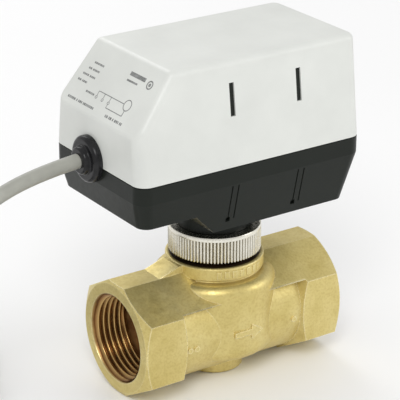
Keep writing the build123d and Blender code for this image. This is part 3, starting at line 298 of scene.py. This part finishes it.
def ground_steel(name, color, rough, grain=(0.03, 0.03, 1)):
    """Steel with fine scratches across one axis."""
    s = Surface(name, color, rough, 1.0)
    darker = tuple(0.82 * c for c in color)
    s.color(s.ramp(s.noise(3 * MM, 4.0), (0.3, darker), (0.7, color)))
    s.rough(s.span(s.noise(1.2 * MM, 3.0), 0.3, 0.7, rough * 0.8, rough * 1.3))
    s.bump(s.noise(0.25 * MM, 2.0, grain), 0.015 * MM, 0.6)
    return s.material


def zinc_steel(name="zinc_steel"):
    """Bright zinc: cold grey with faint crystals."""
    s = Surface(name, (0.68, 0.71, 0.74), 0.32, 1.0)
    s.color(s.ramp(s.cells(2.2 * MM), (0.1, (0.60, 0.63, 0.66)), (0.8, (0.74, 0.77, 0.80))))
    s.rough(s.span(s.noise(1.8 * MM), 0.3, 0.7, 0.26, 0.42))
    s.bump(s.noise(0.3 * MM), 0.012 * MM, 0.5)
    return s.material


def moulded_plastic(name, color, rough, grain, depth, shine=0.5):
    """Injection moulding: spark-eroded grain, slight flow clouds, uneven gloss."""
    s = Surface(name, color, rough)
    lighter = tuple(min(1.0, c * 1.035 + 0.001) for c in color)
    darker = tuple(c * 0.955 for c in color)
    s.color(s.ramp(s.noise(22 * MM, 3.0), (0.3, darker), (0.7, lighter)))
    s.rough(s.span(s.noise(2.5 * MM, 4.0), 0.25, 0.75, rough * 0.88, rough * 1.14))
    s.bump(s.noise(grain, 2.0), depth, 0.6)
    s.bump(s.noise(30 * MM, 1.0), 0.10 * MM, 0.25)
    s.set(Specular_IOR_Level=shine)
    return s.material


def rubber(name, rough):
    """Moulded rubber: soft clouds of bloom over fine pores."""
    s = Surface(name, (0.012, 0.012, 0.013), rough)
    s.color(s.ramp(s.noise(4 * MM), (0.3, (0.008, 0.008, 0.009)), (0.75, (0.020, 0.020, 0.021))))
    s.rough(s.span(s.noise(1.5 * MM, 4.0), 0.3, 0.7, rough * 0.8, rough * 1.25))
    s.bump(s.noise(0.4 * MM), 0.02 * MM, 0.4)
    s.set(Specular_IOR_Level=0.25)
    return s.material


def wound_copper(name="copper_winding"):
    """Enamelled wire laid in rings about the motor axis."""
    s = Surface(name, (0.62, 0.24, 0.08), 0.3, 1.0)
    y = s.axes()[1]
    wire = s.math("SINE", s.math("MULTIPLY", y, 2 * math.pi / (0.25 * MM)), 0)
    s.color(s.ramp(s.noise(2 * MM), (0.3, (0.50, 0.17, 0.05)), (0.7, (0.72, 0.32, 0.12))))
    s.bump(wire, 0.05 * MM, 0.7)
    return s.material


def board_laminate(name="board_laminate"):
    """Green solder mask over woven glass, with tracks showing through."""
    s = Surface(name, (0.02, 0.16, 0.07), 0.25)
    x, y, _ = s.axes()
    tracks = s.math("SINE", s.math("MULTIPLY", y, 2 * math.pi / (2.2 * MM)), 0)
    s.color(s.ramp(s.span(tracks, -1, 1, 0, 1), (0.78, (0.015, 0.13, 0.055)), (0.86, (0.035, 0.24, 0.11))))
    weave = s.math("SINE", s.math("MULTIPLY", x, 2 * math.pi / (0.6 * MM)), 0)
    s.bump(weave, 0.01 * MM, 0.4)
    s.set(Coat_Weight=0.4)
    return s.material


def cable_sheath(name="sheath_plastic"):
    """Extruded sheath: warm light grey with faint clouds, scuffs from handling."""
    s = Surface(name, (0.60, 0.59, 0.52), 0.44)
    s.color(s.ramp(s.noise(9 * MM, 4.0), (0.3, (0.30, 0.30, 0.265)), (0.7, (0.38, 0.38, 0.335))))
    s.rough(s.span(s.noise(3 * MM, 4.0), 0.3, 0.7, 0.36, 0.55))
    s.bump(s.noise(1.6 * MM, 2.0), 0.05 * MM, 0.35)
    s.bump(s.noise(0.3 * MM, 2.0), 0.012 * MM, 0.5)
    return s.material


def wire_insulation(name, color):
    """Glossy core insulation with a little dust."""
    s = Surface(name, color, 0.3)
    pale = tuple(0.85 * c + 0.03 for c in color)
    s.color(s.ramp(s.noise(2 * MM, 3.0), (0.35, color), (0.75, pale)))
    s.bump(s.noise(0.5 * MM), 0.015 * MM, 0.4)
    return s.material


def core_by_place(name="core_plastic"):
    """Core insulation whose colour follows the terminal that it goes to."""
    s = Surface(name, (0.2, 0.1, 0.05), 0.32)
    y = s.axes()[1]
    s.color(s.ramp(s.span(y, -0.008, 0.014, 0.0, 1.0), (0.0, (0.16, 0.055, 0.02)), (0.30, (0.60, 0.60, 0.57)),
                   (0.55, (0.02, 0.10, 0.42)), (0.85, (0.03, 0.03, 0.03))))
    s.bump(s.noise(0.5 * MM), 0.015 * MM, 0.4)
    return s.material


def print_ink(name="print_ink"):
    """Pad-printed grey ink, slightly uneven."""
    s = Surface(name, (0.17, 0.175, 0.17), 0.5)
    s.color(s.ramp(s.noise(0.8 * MM, 3.0), (0.3, (0.13, 0.135, 0.13)), (0.75, (0.30, 0.305, 0.30))))
    s.bump(s.noise(0.2 * MM), 0.006 * MM, 0.4)
    return s.material


MADE = {
    "forged_brass": forged_brass(),
    "turned_brass": turned_brass(),
    "nickel_plate": nickel_plate(),
    "stainless_steel": ground_steel("stainless_steel", (0.66, 0.66, 0.65), 0.22),
    "spring_steel": ground_steel("spring_steel", (0.30, 0.29, 0.28), 0.34),
    "zinc_steel": zinc_steel(),
    "black_rubber": rubber("black_rubber", 0.55),
    "grommet_rubber": rubber("grommet_rubber", 0.20),
    "grey_plastic": moulded_plastic("grey_plastic", (0.655, 0.668, 0.635), 0.38, 0.5 * MM, 0.022 * MM),
    "dark_plastic": moulded_plastic("dark_plastic", (0.011, 0.0135, 0.0105), 0.34, 0.6 * MM, 0.035 * MM,
                                    shine=0.17),
    "bearing_plastic": moulded_plastic("bearing_plastic", (0.02, 0.02, 0.02), 0.35, 0.4 * MM, 0.015 * MM),
    "gear_plastic": moulded_plastic("gear_plastic", (0.80, 0.78, 0.70), 0.34, 0.4 * MM, 0.012 * MM),
    "sintered_steel": ground_steel("sintered_steel", (0.30, 0.29, 0.28), 0.5, (1, 1, 1)),
    "copper_winding": wound_copper(),
    "ferrite": moulded_plastic("ferrite", (0.035, 0.035, 0.038), 0.5, 0.3 * MM, 0.02 * MM),
    "board_laminate": board_laminate(),
    "terminal_plastic": moulded_plastic("terminal_plastic", (0.05, 0.16, 0.08), 0.4, 0.4 * MM, 0.015 * MM),
    "switch_plastic": moulded_plastic("switch_plastic", (0.03, 0.03, 0.033), 0.4, 0.4 * MM, 0.015 * MM),
    "clamp_plastic": moulded_plastic("clamp_plastic", (0.52, 0.52, 0.49), 0.42, 0.5 * MM, 0.02 * MM),
    "sheath_plastic": cable_sheath(),
    "core_plastic": core_by_place(),
}


def paint_cad():
    """Give every CAD node the detailed material of its slot."""
    for row in RECORD["subparts"]:
        for slot in NODES[row["node"]].material_slots:
            slot.material = MADE[row["material_slot"]]


paint_cad()


# ---- Mesh helpers -----------------------------------------------------------------------
def piece(name, verts, faces, material, body, smooth=True):
    """Object from points and faces, riding on a body."""
    mesh = bpy.data.meshes.new(name)
    mesh.from_pydata(verts, [], faces)
    mesh.validate()
    shape = bmesh.new()
    shape.from_mesh(mesh)
    bmesh.ops.recalc_face_normals(shape, faces=shape.faces)
    shape.to_mesh(mesh)
    shape.free()
    for polygon in mesh.polygons:
        polygon.use_smooth = smooth
    made = bpy.data.objects.new(name, mesh)
    made.data.materials.append(material)
    SCENE.collection.objects.link(made)
    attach(made, body)
    return made


def grid_faces(rows, columns, close_rows, close_columns):
    """Quads between the points of a grid stored row by row."""
    faces = []
    for i in range(rows if close_rows else rows - 1):
        for j in range(columns if close_columns else columns - 1):
            i2 = (i + 1) % rows
            j2 = (j + 1) % columns
            faces.append((i * columns + j, i * columns + j2, i2 * columns + j2, i2 * columns + j))
    return faces


def curve_piece(name, points, radius, material, body, resolution=8):
    """Round cord, cable or core along a smooth spline with these control points."""
    data = bpy.data.curves.new(name, "CURVE")
    data.dimensions = "3D"
    data.bevel_depth = radius
    data.bevel_resolution = 6
    data.use_fill_caps = True
    data.resolution_u = resolution
    spline = data.splines.new("NURBS")
    spline.points.add(len(points) - 1)
    for point, place in zip(spline.points, points):
        point.co = (*place, 1)
    spline.order_u = 3
    spline.use_endpoint_u = True
    made = bpy.data.objects.new(name, data)
    data.materials.append(material)
    SCENE.collection.objects.link(made)
    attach(made, body)
    return made


# ---- Cable ------------------------------------------------------------------------------
CORD_DIAMETER = 5.4 * MM
CORD_EXIT = (-0.0562, 0.0035, 0.0934)
CORD_ROUTE = [CORD_EXIT, (-0.0752, 0.0028, 0.0922), (-0.0955, 0.0030, 0.0850), (-0.1095, 0.0055, 0.0730),
              (-0.1185, 0.0098, 0.0585), (-0.1245, 0.0160, 0.0440), (-0.1290, 0.0245, 0.0315),
              (-0.1313, 0.0365, 0.0230), (-0.1318, 0.0440, 0.0202)]
COIL_CENTRE = (-0.1051, 0.0457)
COIL_RADIUS = 27.0 * MM
COIL_START = 171.0          # degrees, where the cable reaches the coil
COIL_END = 90.0             # degrees, where the tail leaves it
COIL_SWEEP = COIL_START - COIL_END + 3 * 360
COIL_STEP = 15.0            # degrees between two control points
COIL_DROPS = ((101, 176), (461, 536), (821, 896))      # degrees turned while the cable steps down a turn
TURN_PITCH = 1.02 * CORD_DIAMETER
SPLINE_SWELL = 1.006        # control points of a circle stand this much further out than the curve
TAIL_LENGTH = 22.0 * MM


def ease(value, low, high):
    """0 below low, 1 above high, smooth between."""
    part = min(1.0, max(0.0, (value - low) / (high - low)))
    return part * part * (3 - 2 * part)


def coil_height(turned):
    """Height of the cable after turning this many degrees: three turns, each lying on the next one down."""
    level = len(COIL_DROPS)
    for start, end in COIL_DROPS:
        level -= ease(turned, start, end)
    return CORD_DIAMETER / 2 + TURN_PITCH * level


def coil_points():
    """Control points of the three turns, clockwise from above."""
    points = []
    count = round(COIL_SWEEP / COIL_STEP)
    for i in range(1, count + 1):
        turned = COIL_SWEEP * i / count
        angle = math.radians(COIL_START - turned)
        points.append((COIL_CENTRE[0] + SPLINE_SWELL * COIL_RADIUS * math.cos(angle),
                       COIL_CENTRE[1] + SPLINE_SWELL * COIL_RADIUS * math.sin(angle), coil_height(turned)))
    return points


def tail_direction():
    """Which way the cable points where it leaves the coil."""
    angle = math.radians(COIL_END)
    return Vector((math.sin(angle), -math.cos(angle), 0))


def make_cable():
    """The cable from the grommet down to the coil, round it and out along the floor."""
    points = CORD_ROUTE + coil_points()
    start = Vector(points[-1])
    start.z = CORD_DIAMETER / 2
    tail = tail_direction()
    points += [tuple(start + tail * TAIL_LENGTH * share) for share in (0.4, 0.75, 1.0)]
    cable = curve_piece("cable", points, CORD_DIAMETER / 2, MADE["sheath_plastic"], "head")
    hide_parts("cord_tube", "cord_coil", "cord_tail")
    return cable, start + tail * TAIL_LENGTH


CORE_COLORS = {"core_brown": (0.14, 0.05, 0.018), "core_blue": (0.015, 0.09, 0.40),
               "core_black": (0.02, 0.02, 0.021)}
CORE_RADIUS = 0.95 * MM
CORE_LENGTH = 20 * MM


def ferrule(name, start, direction):
    """Crimped end sleeve: a collar, plastic on the real sleeve but drawn here in zinc steel like the tube, then a tube
    with crimp flats.
    """
    profile = [(0.0, 0.0), (1.25, 0.0), (1.35, 0.3), (1.35, 2.0), (0.75, 2.4), (0.72, 3.0), (0.62, 3.4),
               (0.66, 4.0), (0.60, 4.5), (0.66, 5.0), (0.62, 6.0), (0.0, 6.0)]
    side = direction.cross(Vector((0, 0, 1))).normalized()
    up = side.cross(direction)
    steps = 24
    verts = []
    for radius, along in profile:
        for k in range(steps):
            angle = 2 * math.pi * k / steps
            flat = 1 - 0.12 * (along > 2.8) * abs(math.cos(2 * angle))
            offset = (side * math.cos(angle) + up * math.sin(angle)) * radius * flat * MM
            verts.append(tuple(start + direction * along * MM + offset))
    faces = grid_faces(len(profile), steps, False, True)
    return piece(name, verts, faces, MADE["zinc_steel"], "head")


def make_cores(sheath_end):
    """Three insulated cores that splay a little, each with a crimped ferrule."""
    tail = tail_direction()
    side = Vector((-tail.y, tail.x, 0))
    made = []
    for index, (name, color) in enumerate(CORE_COLORS.items()):
        spread = index - 1
        lift = 0.9 * MM if index == 1 else -0.6 * MM
        root = sheath_end - tail * 3 * MM + side * spread * 1.15 * MM + Vector((0, 0, lift))
        middle = sheath_end + tail * 7 * MM + side * spread * 1.4 * MM + Vector((0, 0, lift * 0.6))
        height = (CORE_RADIUS + 0.45 * MM) - sheath_end.z
        tip = sheath_end + tail * CORE_LENGTH * 0.98 + side * spread * 1.7 * MM + Vector((0, 0, height))
        near = tip - (tail + side * spread * 0.12).normalized() * 5 * MM
        points = [tuple(root), tuple(root + tail * 4 * MM), tuple(middle), tuple(near), tuple(tip)]
        insulation = wire_insulation(name, color)
        core = curve_piece(name, points, CORE_RADIUS, insulation, "head", 12)
        heading = (tip - near).normalized()
        made += [core, ferrule(name.replace("core", "ferrule"), tip - heading * 0.5 * MM, heading)]
    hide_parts("cord_cores")
    return made


TIE_ANGLE = 250.0           # degrees round the coil


def make_tie():
    """Nylon tie round the three turns, with its head on top and the cut end of the strap."""
    angle = math.radians(TIE_ANGLE)
    out = Vector((math.cos(angle), math.sin(angle), 0))
    along = Vector((-out.y, out.x, 0))
    middle = Vector((*COIL_CENTRE, 0)) + out * COIL_RADIUS
    half_wide = CORD_DIAMETER / 2 + 0.15 * MM
    low = 0.1 * MM
    high = 3.04 * CORD_DIAMETER + 0.4 * MM
    corner = 2.3 * MM
    thickness = 0.9 * MM
    loop = []
    for cx, cz, start in ((1, 1, 0), (-1, 1, 90), (-1, -1, 180), (1, -1, 270)):
        centre_z = (high - corner) if cz > 0 else (low + corner)
        for k in range(7):
            turn = math.radians(start + 15 * k)
            nx, nz = math.cos(turn), math.sin(turn)
            loop.append((cx * (half_wide - corner) + corner * nx, centre_z + corner * nz, nx, nz))
    verts = []
    for across, height, nx, nz in loop:
        for side, depth in ((-1.3, 0), (-1.3, 0.75), (-1.1, 1), (1.1, 1), (1.3, 0.75), (1.3, 0)):
            inward = thickness * (1 - depth)
            point = middle + out * (across - nx * inward) + along * side * MM
            verts.append((point.x, point.y, height - nz * inward))
    nylon = MADE["gear_plastic"]
    faces = grid_faces(len(loop), 6, True, True)
    strap = piece("cable_tie", verts, faces, nylon, "head")
    head_size = (4.6 * MM, 4.2 * MM, 3.2 * MM)
    head = box_piece("cable_tie_head", head_size, 0.5 * MM, nylon, "head")
    place = Matrix((out, along, Vector((0, 0, 1)))).transposed().to_4x4()
    place.translation = middle + Vector((0, 0, high + 0.9 * MM))
    head.data.transform(place)
    stub_size = (5.0 * MM, 2.5 * MM, thickness)
    stub = box_piece("cable_tie_end", stub_size, 0.2 * MM, nylon, "head")
    place.translation = middle + out * 2.2 * MM + Vector((0, 0, high + 1.3 * MM))
    stub.data.transform(place)
    return [strap, head, stub]


def box_piece(name, size, rounding, material, body):
    """Box with rounded edges, centred on the origin."""
    shape = bmesh.new()
    bmesh.ops.create_cube(shape, size=1.0)
    bmesh.ops.scale(shape, vec=Vector(size), verts=shape.verts)
    bmesh.ops.bevel(shape, geom=shape.edges[:], offset=rounding, segments=3, profile=0.6, affect="EDGES")
    mesh = bpy.data.meshes.new(name)
    shape.to_mesh(mesh)
    shape.free()
    made = bpy.data.objects.new(name, mesh)
    mesh.materials.append(material)
    SCENE.collection.objects.link(made)
    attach(made, body)
    return made


cable, sheath_end = make_cable()
cable_extras = make_cores(sheath_end) + make_tie()


# ---- Union nut --------------------------------------------------------------------------
NUT_TEETH = 84
NUT_STEPS_PER_TOOTH = 8
GROOVE_DEPTH = 0.50 * MM
PLAIN_BAND = 1.9 * MM       # plain height above the serrations


def groove_share(part):
    """Depth of the serration across one pitch, 0 on the land and 1 at the bottom of the groove."""
    distance = abs(part - 0.5) * 2
    return max(0.0, 1 - distance / 0.62) ** 0.8


def make_union_nut():
    """Knurled union nut: straight serrations below a plain band, inner thread, lip on the snap ring.

    Each row of the outline is a radius, a height and the share of the serration cut there."""
    low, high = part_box("coupling_nut")
    outer = high.x
    bottom, top = low.z, high.z
    lip_radius = 12.92 * MM
    bore = 15.08 * MM
    lip_bottom = top - 1.15 * MM
    runout = top - PLAIN_BAND
    steps = NUT_TEETH * NUT_STEPS_PER_TOOTH
    inner = [(bore + 0.5 * MM, bottom, 0), (outer - 1.0 * MM, bottom, 0),
             (outer - 0.45 * MM, bottom + 0.05 * MM, 0.9), (outer - 0.08 * MM, bottom + 0.40 * MM, 1),
             (outer, bottom + 0.8 * MM, 1), (outer, bottom + 4 * MM, 1),
             (outer, runout - 0.5 * MM, 1), (outer, runout - 0.15 * MM, 1.25), (outer, runout, 1.15),
             (outer, runout + 0.12 * MM, 0), (outer, runout + 0.3 * MM, 0), (outer, top - 0.75 * MM, 0),
             (outer - 0.22 * MM, top - 0.3 * MM, 0), (outer - 0.75 * MM, top, 0),
             (lip_radius + 0.2 * MM, top, 0),
             (lip_radius, top - 0.2 * MM, 0), (lip_radius, lip_bottom, 0), (bore, lip_bottom, 0)]
    turns = 5
    for i in range(2 * turns):
        height = lip_bottom - (lip_bottom - bottom - 1.0 * MM) * (i + 0.5) / (2 * turns)
        inner.append((bore + (0.0 if i % 2 else 0.35 * MM), height, 0))
    verts = []
    for radius, height, share in inner:
        for k in range(steps):
            angle = 2 * math.pi * k / steps
            cut = share * GROOVE_DEPTH * groove_share((k % NUT_STEPS_PER_TOOTH) / NUT_STEPS_PER_TOOTH)
            verts.append(((radius - cut) * math.cos(angle), (radius - cut) * math.sin(angle), height))
    faces = grid_faces(len(inner), steps, True, True)
    nut = piece("union_nut", verts, faces, MADE["nickel_plate"], "nut", smooth=False)
    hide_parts("coupling_nut")
    shade_by_angle(nut, 28)


def shade_by_angle(made, degrees):
    """Smooth shading that keeps edges sharper than an angle."""
    made.data.shade_smooth()
    shape = bmesh.new()
    shape.from_mesh(made.data)
    limit = math.radians(degrees)
    for edge in shape.edges:
        if len(edge.link_faces) == 2 and edge.calc_face_angle(0) > limit:
            edge.smooth = False
    shape.to_mesh(made.data)
    shape.free()


make_union_nut()


# ---- Pipe threads -----------------------------------------------------------------------
THREAD_PITCH = 2.309 * MM
THREAD_CREST = 15.15 * MM
THREAD_START = 29.6 * MM
THREAD_END = 42.9 * MM
THREAD_STEPS = 96           # points in one turn


def make_pipe_thread(name, side):
    """Helical G1 ridges on the wall of one port, fading out at both ends."""
    profile = [(-0.50, 0.0), (-0.36, 0.12), (-0.16, 0.80), (-0.07, 0.97), (0.0, 1.0),
               (0.07, 0.97), (0.16, 0.80), (0.36, 0.12), (0.50, 0.0)]
    wall = THREAD_RADIUS + 0.05 * MM
    turns = (THREAD_END - THREAD_START) / THREAD_PITCH
    count = int(turns * THREAD_STEPS)
    verts = []
    for i in range(count + 1):
        angle = 2 * math.pi * i / THREAD_STEPS
        centre = THREAD_START + THREAD_PITCH * i / THREAD_STEPS
        full = ease(i, 0, THREAD_STEPS * 0.5) * ease(count - i, 0, THREAD_STEPS * 0.35)
        for offset, share in profile:
            radius = wall - (wall - THREAD_CREST) * share * (0.04 + 0.96 * full)
            verts.append((side * (centre + offset * THREAD_PITCH), radius * math.sin(angle),
                          PIPE_Z + radius * math.cos(angle)))
    faces = grid_faces(count + 1, len(profile), False, False)
    return piece(name, verts, faces, MADE["cut_thread"], "valve")


def cut_thread(name="cut_thread"):
    """Machined thread: bright crests, roots darkened by brown oil stain and painted shade."""
    s = Surface(name, (0.4, 0.22, 0.07), 0.26, 1.0)
    x, y, z = s.axes()
    radius = s.radius(y, s.math("SUBTRACT", z, PIPE_Z))
    crest = s.span(radius, THREAD_RADIUS, THREAD_CREST, 0.0, 1.0)
    # roots: brown oil stain, darkened further as painted shade
    stain_and_shade = s.ramp(s.noise(6 * MM, 3.0), (0.3, (0.10, 0.036, 0.010)), (0.7, (0.22, 0.098, 0.030)))
    s.color(s.blend(crest, stain_and_shade, (0.58, 0.38, 0.15)))
    s.bump(s.noise(0.3 * MM, 2.0, (1, 0.05, 0.05)), 0.015 * MM, 0.5)
    return s.material


MADE["cut_thread"] = cut_thread()
make_pipe_thread("inlet_thread", -1)
make_pipe_thread("outlet_thread", 1)


# ---- Marks on the casting ---------------------------------------------------------------
RING_MARKS = 7


def make_ring_marks():
    """Raised blank bars on the front of the cast ring."""
    ring_radius = 18.5 * MM
    middle = 44.3 * MM
    rng = random.Random(5)
    for index in range(RING_MARKS):
        angle = math.radians(-119 + 9.2 * index)
        tall = (2.7 + 0.3 * rng.random()) * MM
        wide = (1.25 + 0.7 * rng.random()) * MM
        size = (0.9 * MM, wide, tall)
        name = f"ring_mark_{index + 1}"
        mark = box_piece(name, size, 0.3 * MM, MADE["forged_brass"], "valve")
        place = Matrix.Rotation(angle, 4, "Z") @ Matrix.Translation((ring_radius - 0.1 * MM, 0, middle))
        mark.data.transform(place)
        mark.data.shade_smooth()


make_ring_marks()


# ---- Printed label ----------------------------------------------------------------------
COVER_LOW, COVER_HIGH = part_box("cover")
SLOPE_FOOT = Vector((COVER_LOW.x, 0, COVER_LOW.z + 16.75 * MM))
SLOPE_HEAD = Vector((COVER_LOW.x + 16.0 * MM, 0, COVER_HIGH.z))
SLOPE_UP = (SLOPE_HEAD - SLOPE_FOOT).normalized()
SLOPE_OUT = Vector((-SLOPE_UP.z, 0, SLOPE_UP.x))
INK_THICKNESS = 0.03 * MM


class Print:
    """Flat printed shapes on the label slope; across runs to the right as read, up towards the top."""

    def __init__(self):
        self.verts = []
        self.faces = []

    def point(self, across, up):
        return SLOPE_FOOT + SLOPE_UP * up * MM + Vector((0, -across * MM, 0))

    def patch(self, outline):
        """Thin plate with this outline of (across, up) points, in millimetres."""
        count = len(outline)
        first = len(self.verts)
        for lift in (-0.2 * INK_THICKNESS, INK_THICKNESS):
            self.verts += [tuple(self.point(a, u) + SLOPE_OUT * lift) for a, u in outline]
        self.faces.append(tuple(range(first + count - 1, first - 1, -1)))
        self.faces.append(tuple(range(first + count, first + 2 * count)))
        for i in range(count):
            j = (i + 1) % count
            self.faces.append((first + i, first + j, first + count + j, first + count + i))

    def bar(self, across, up, length, height):
        right, top = across + length, up + height
        self.patch([(across, up), (right, up), (right, top), (across, top)])

    def line(self, start, end, width):
        """Straight stroke between two points."""
        (a, b), (c, d) = start, end
        length = math.hypot(c - a, d - b)
        nx, ny = -(d - b) / length * width / 2, (c - a) / length * width / 2
        self.patch([(a - nx, b - ny), (c - nx, d - ny), (c + nx, d + ny), (a + nx, b + ny)])

    def ring(self, across, up, radius, width, steps=20):
        for k in range(steps):
            a, b = 2 * math.pi * k / steps, 2 * math.pi * (k + 1) / steps
            inner = radius - width
            self.patch([(across + inner * math.cos(a), up + inner * math.sin(a)),
                        (across + radius * math.cos(a), up + radius * math.sin(a)),
                        (across + radius * math.cos(b), up + radius * math.sin(b)),
                        (across + inner * math.cos(b), up + inner * math.sin(b))])

    def dashes(self, across, up, length, height, rng):
        """A row of small blocks in place of a line of text."""
        at = across
        while at < across + length:
            width = 0.45 + 0.55 * rng.random()
            self.bar(at, up, min(width, across + length - at), height)
            at += width + (0.22 if rng.random() < 0.8 else 0.7)


def make_label():
    """Generic print: rows of blocks, a small wiring diagram and a plain round badge."""
    ink = Print()
    rng = random.Random(11)
    ink.bar(4.5, 19.4, 9.5, 1.5)
    ink.bar(4.5, 17.2, 6.5, 0.7)
    ink.ring(17.3, 19.3, 1.7, 0.5)
    ink.ring(17.3, 19.3, 0.7, 0.7, 12)
    rows = ((-17.0, 6.5), (-18.5, 7.0), (-20.0, 8.0), (-21.0, 6.0), (-13.0, 5.5))
    for row, (across, length) in enumerate(rows):
        ink.dashes(across, 17.5 - 2.6 * row, length, 0.75, rng)
    ink.line((-6.0, 9.6), (10.0, 9.6), 0.3)
    for x in (-6.0, -2.0, 2.0):
        ink.ring(x, 7.2, 0.65, 0.25, 14)
        ink.line((x, 7.9), (x, 9.6), 0.25)
    ink.ring(12.2, 9.6, 2.2, 0.35, 24)
    ink.line((12.2, 7.4), (12.2, 5.4), 0.3)
    ink.line((2.0, 6.5), (2.0, 5.4), 0.25)
    ink.line((2.0, 5.4), (12.2, 5.4), 0.3)
    ink.dashes(-21.0, 2.6, 17.0, 0.9, rng)
    ink.dashes(4.0, 2.4, 11.0, 1.0, rng)
    piece("label_print", ink.verts, ink.faces, print_ink(), "head", smooth=False)


make_label()


# ---- Stage ------------------------------------------------------------------------------
def make_floor():
    """Plain pale floor under the valve."""
    size = 6.0
    depth = -0.15 * MM
    mesh = bpy.data.meshes.new("floor")
    corners = [(-size, -size, depth), (size, -size, depth), (size, size, depth), (-size, size, depth)]
    mesh.from_pydata(corners, [], [(0, 1, 2, 3)])
    s = Surface("floor", (0.90, 0.90, 0.90), 0.6)
    s.color(s.ramp(s.noise(0.4, 2.0), (0.3, (0.89, 0.89, 0.89)), (0.7, (0.91, 0.91, 0.91))))
    mesh.materials.append(s.material)
    floor = bpy.data.objects.new("floor", mesh)
    SCENE.collection.objects.link(floor)


LIGHTS = (("key", (-0.7, -0.9, 1.2), 0.7, 9),       # name, place, diameter, power
          ("fill", (1.1, -0.8, 0.6), 0.8, 4),
          ("back", (0.2, 1.2, 0.9), 0.8, 4))
LIGHT_TARGET = Vector((0, 0, 0.07))
WORLD_STRENGTH = 0.72


def area_light(name, place, size, power):
    """Round soft light of this diameter and power, aimed at the object."""
    data = bpy.data.lights.new(name, "AREA")
    data.shape = "DISK"
    data.size = size
    data.energy = power
    lamp = bpy.data.objects.new(name, data)
    lamp.location = place
    lamp.rotation_euler = (LIGHT_TARGET - Vector(place)).to_track_quat("-Z", "Y").to_euler()
    SCENE.collection.objects.link(lamp)


def make_light():
    """Even pale surroundings, a soft key from the upper left, a fill from the right and one from behind."""
    SCENE.view_settings.view_transform = "Standard"
    world = bpy.data.worlds.new("studio")
    world.use_nodes = True
    world.node_tree.nodes["Background"].inputs["Color"].default_value = (1, 1, 1, 1)
    world.node_tree.nodes["Background"].inputs["Strength"].default_value = WORLD_STRENGTH
    SCENE.world = world
    for name, place, size, power in LIGHTS:
        area_light(name, place, size, power)


make_floor()
make_light()
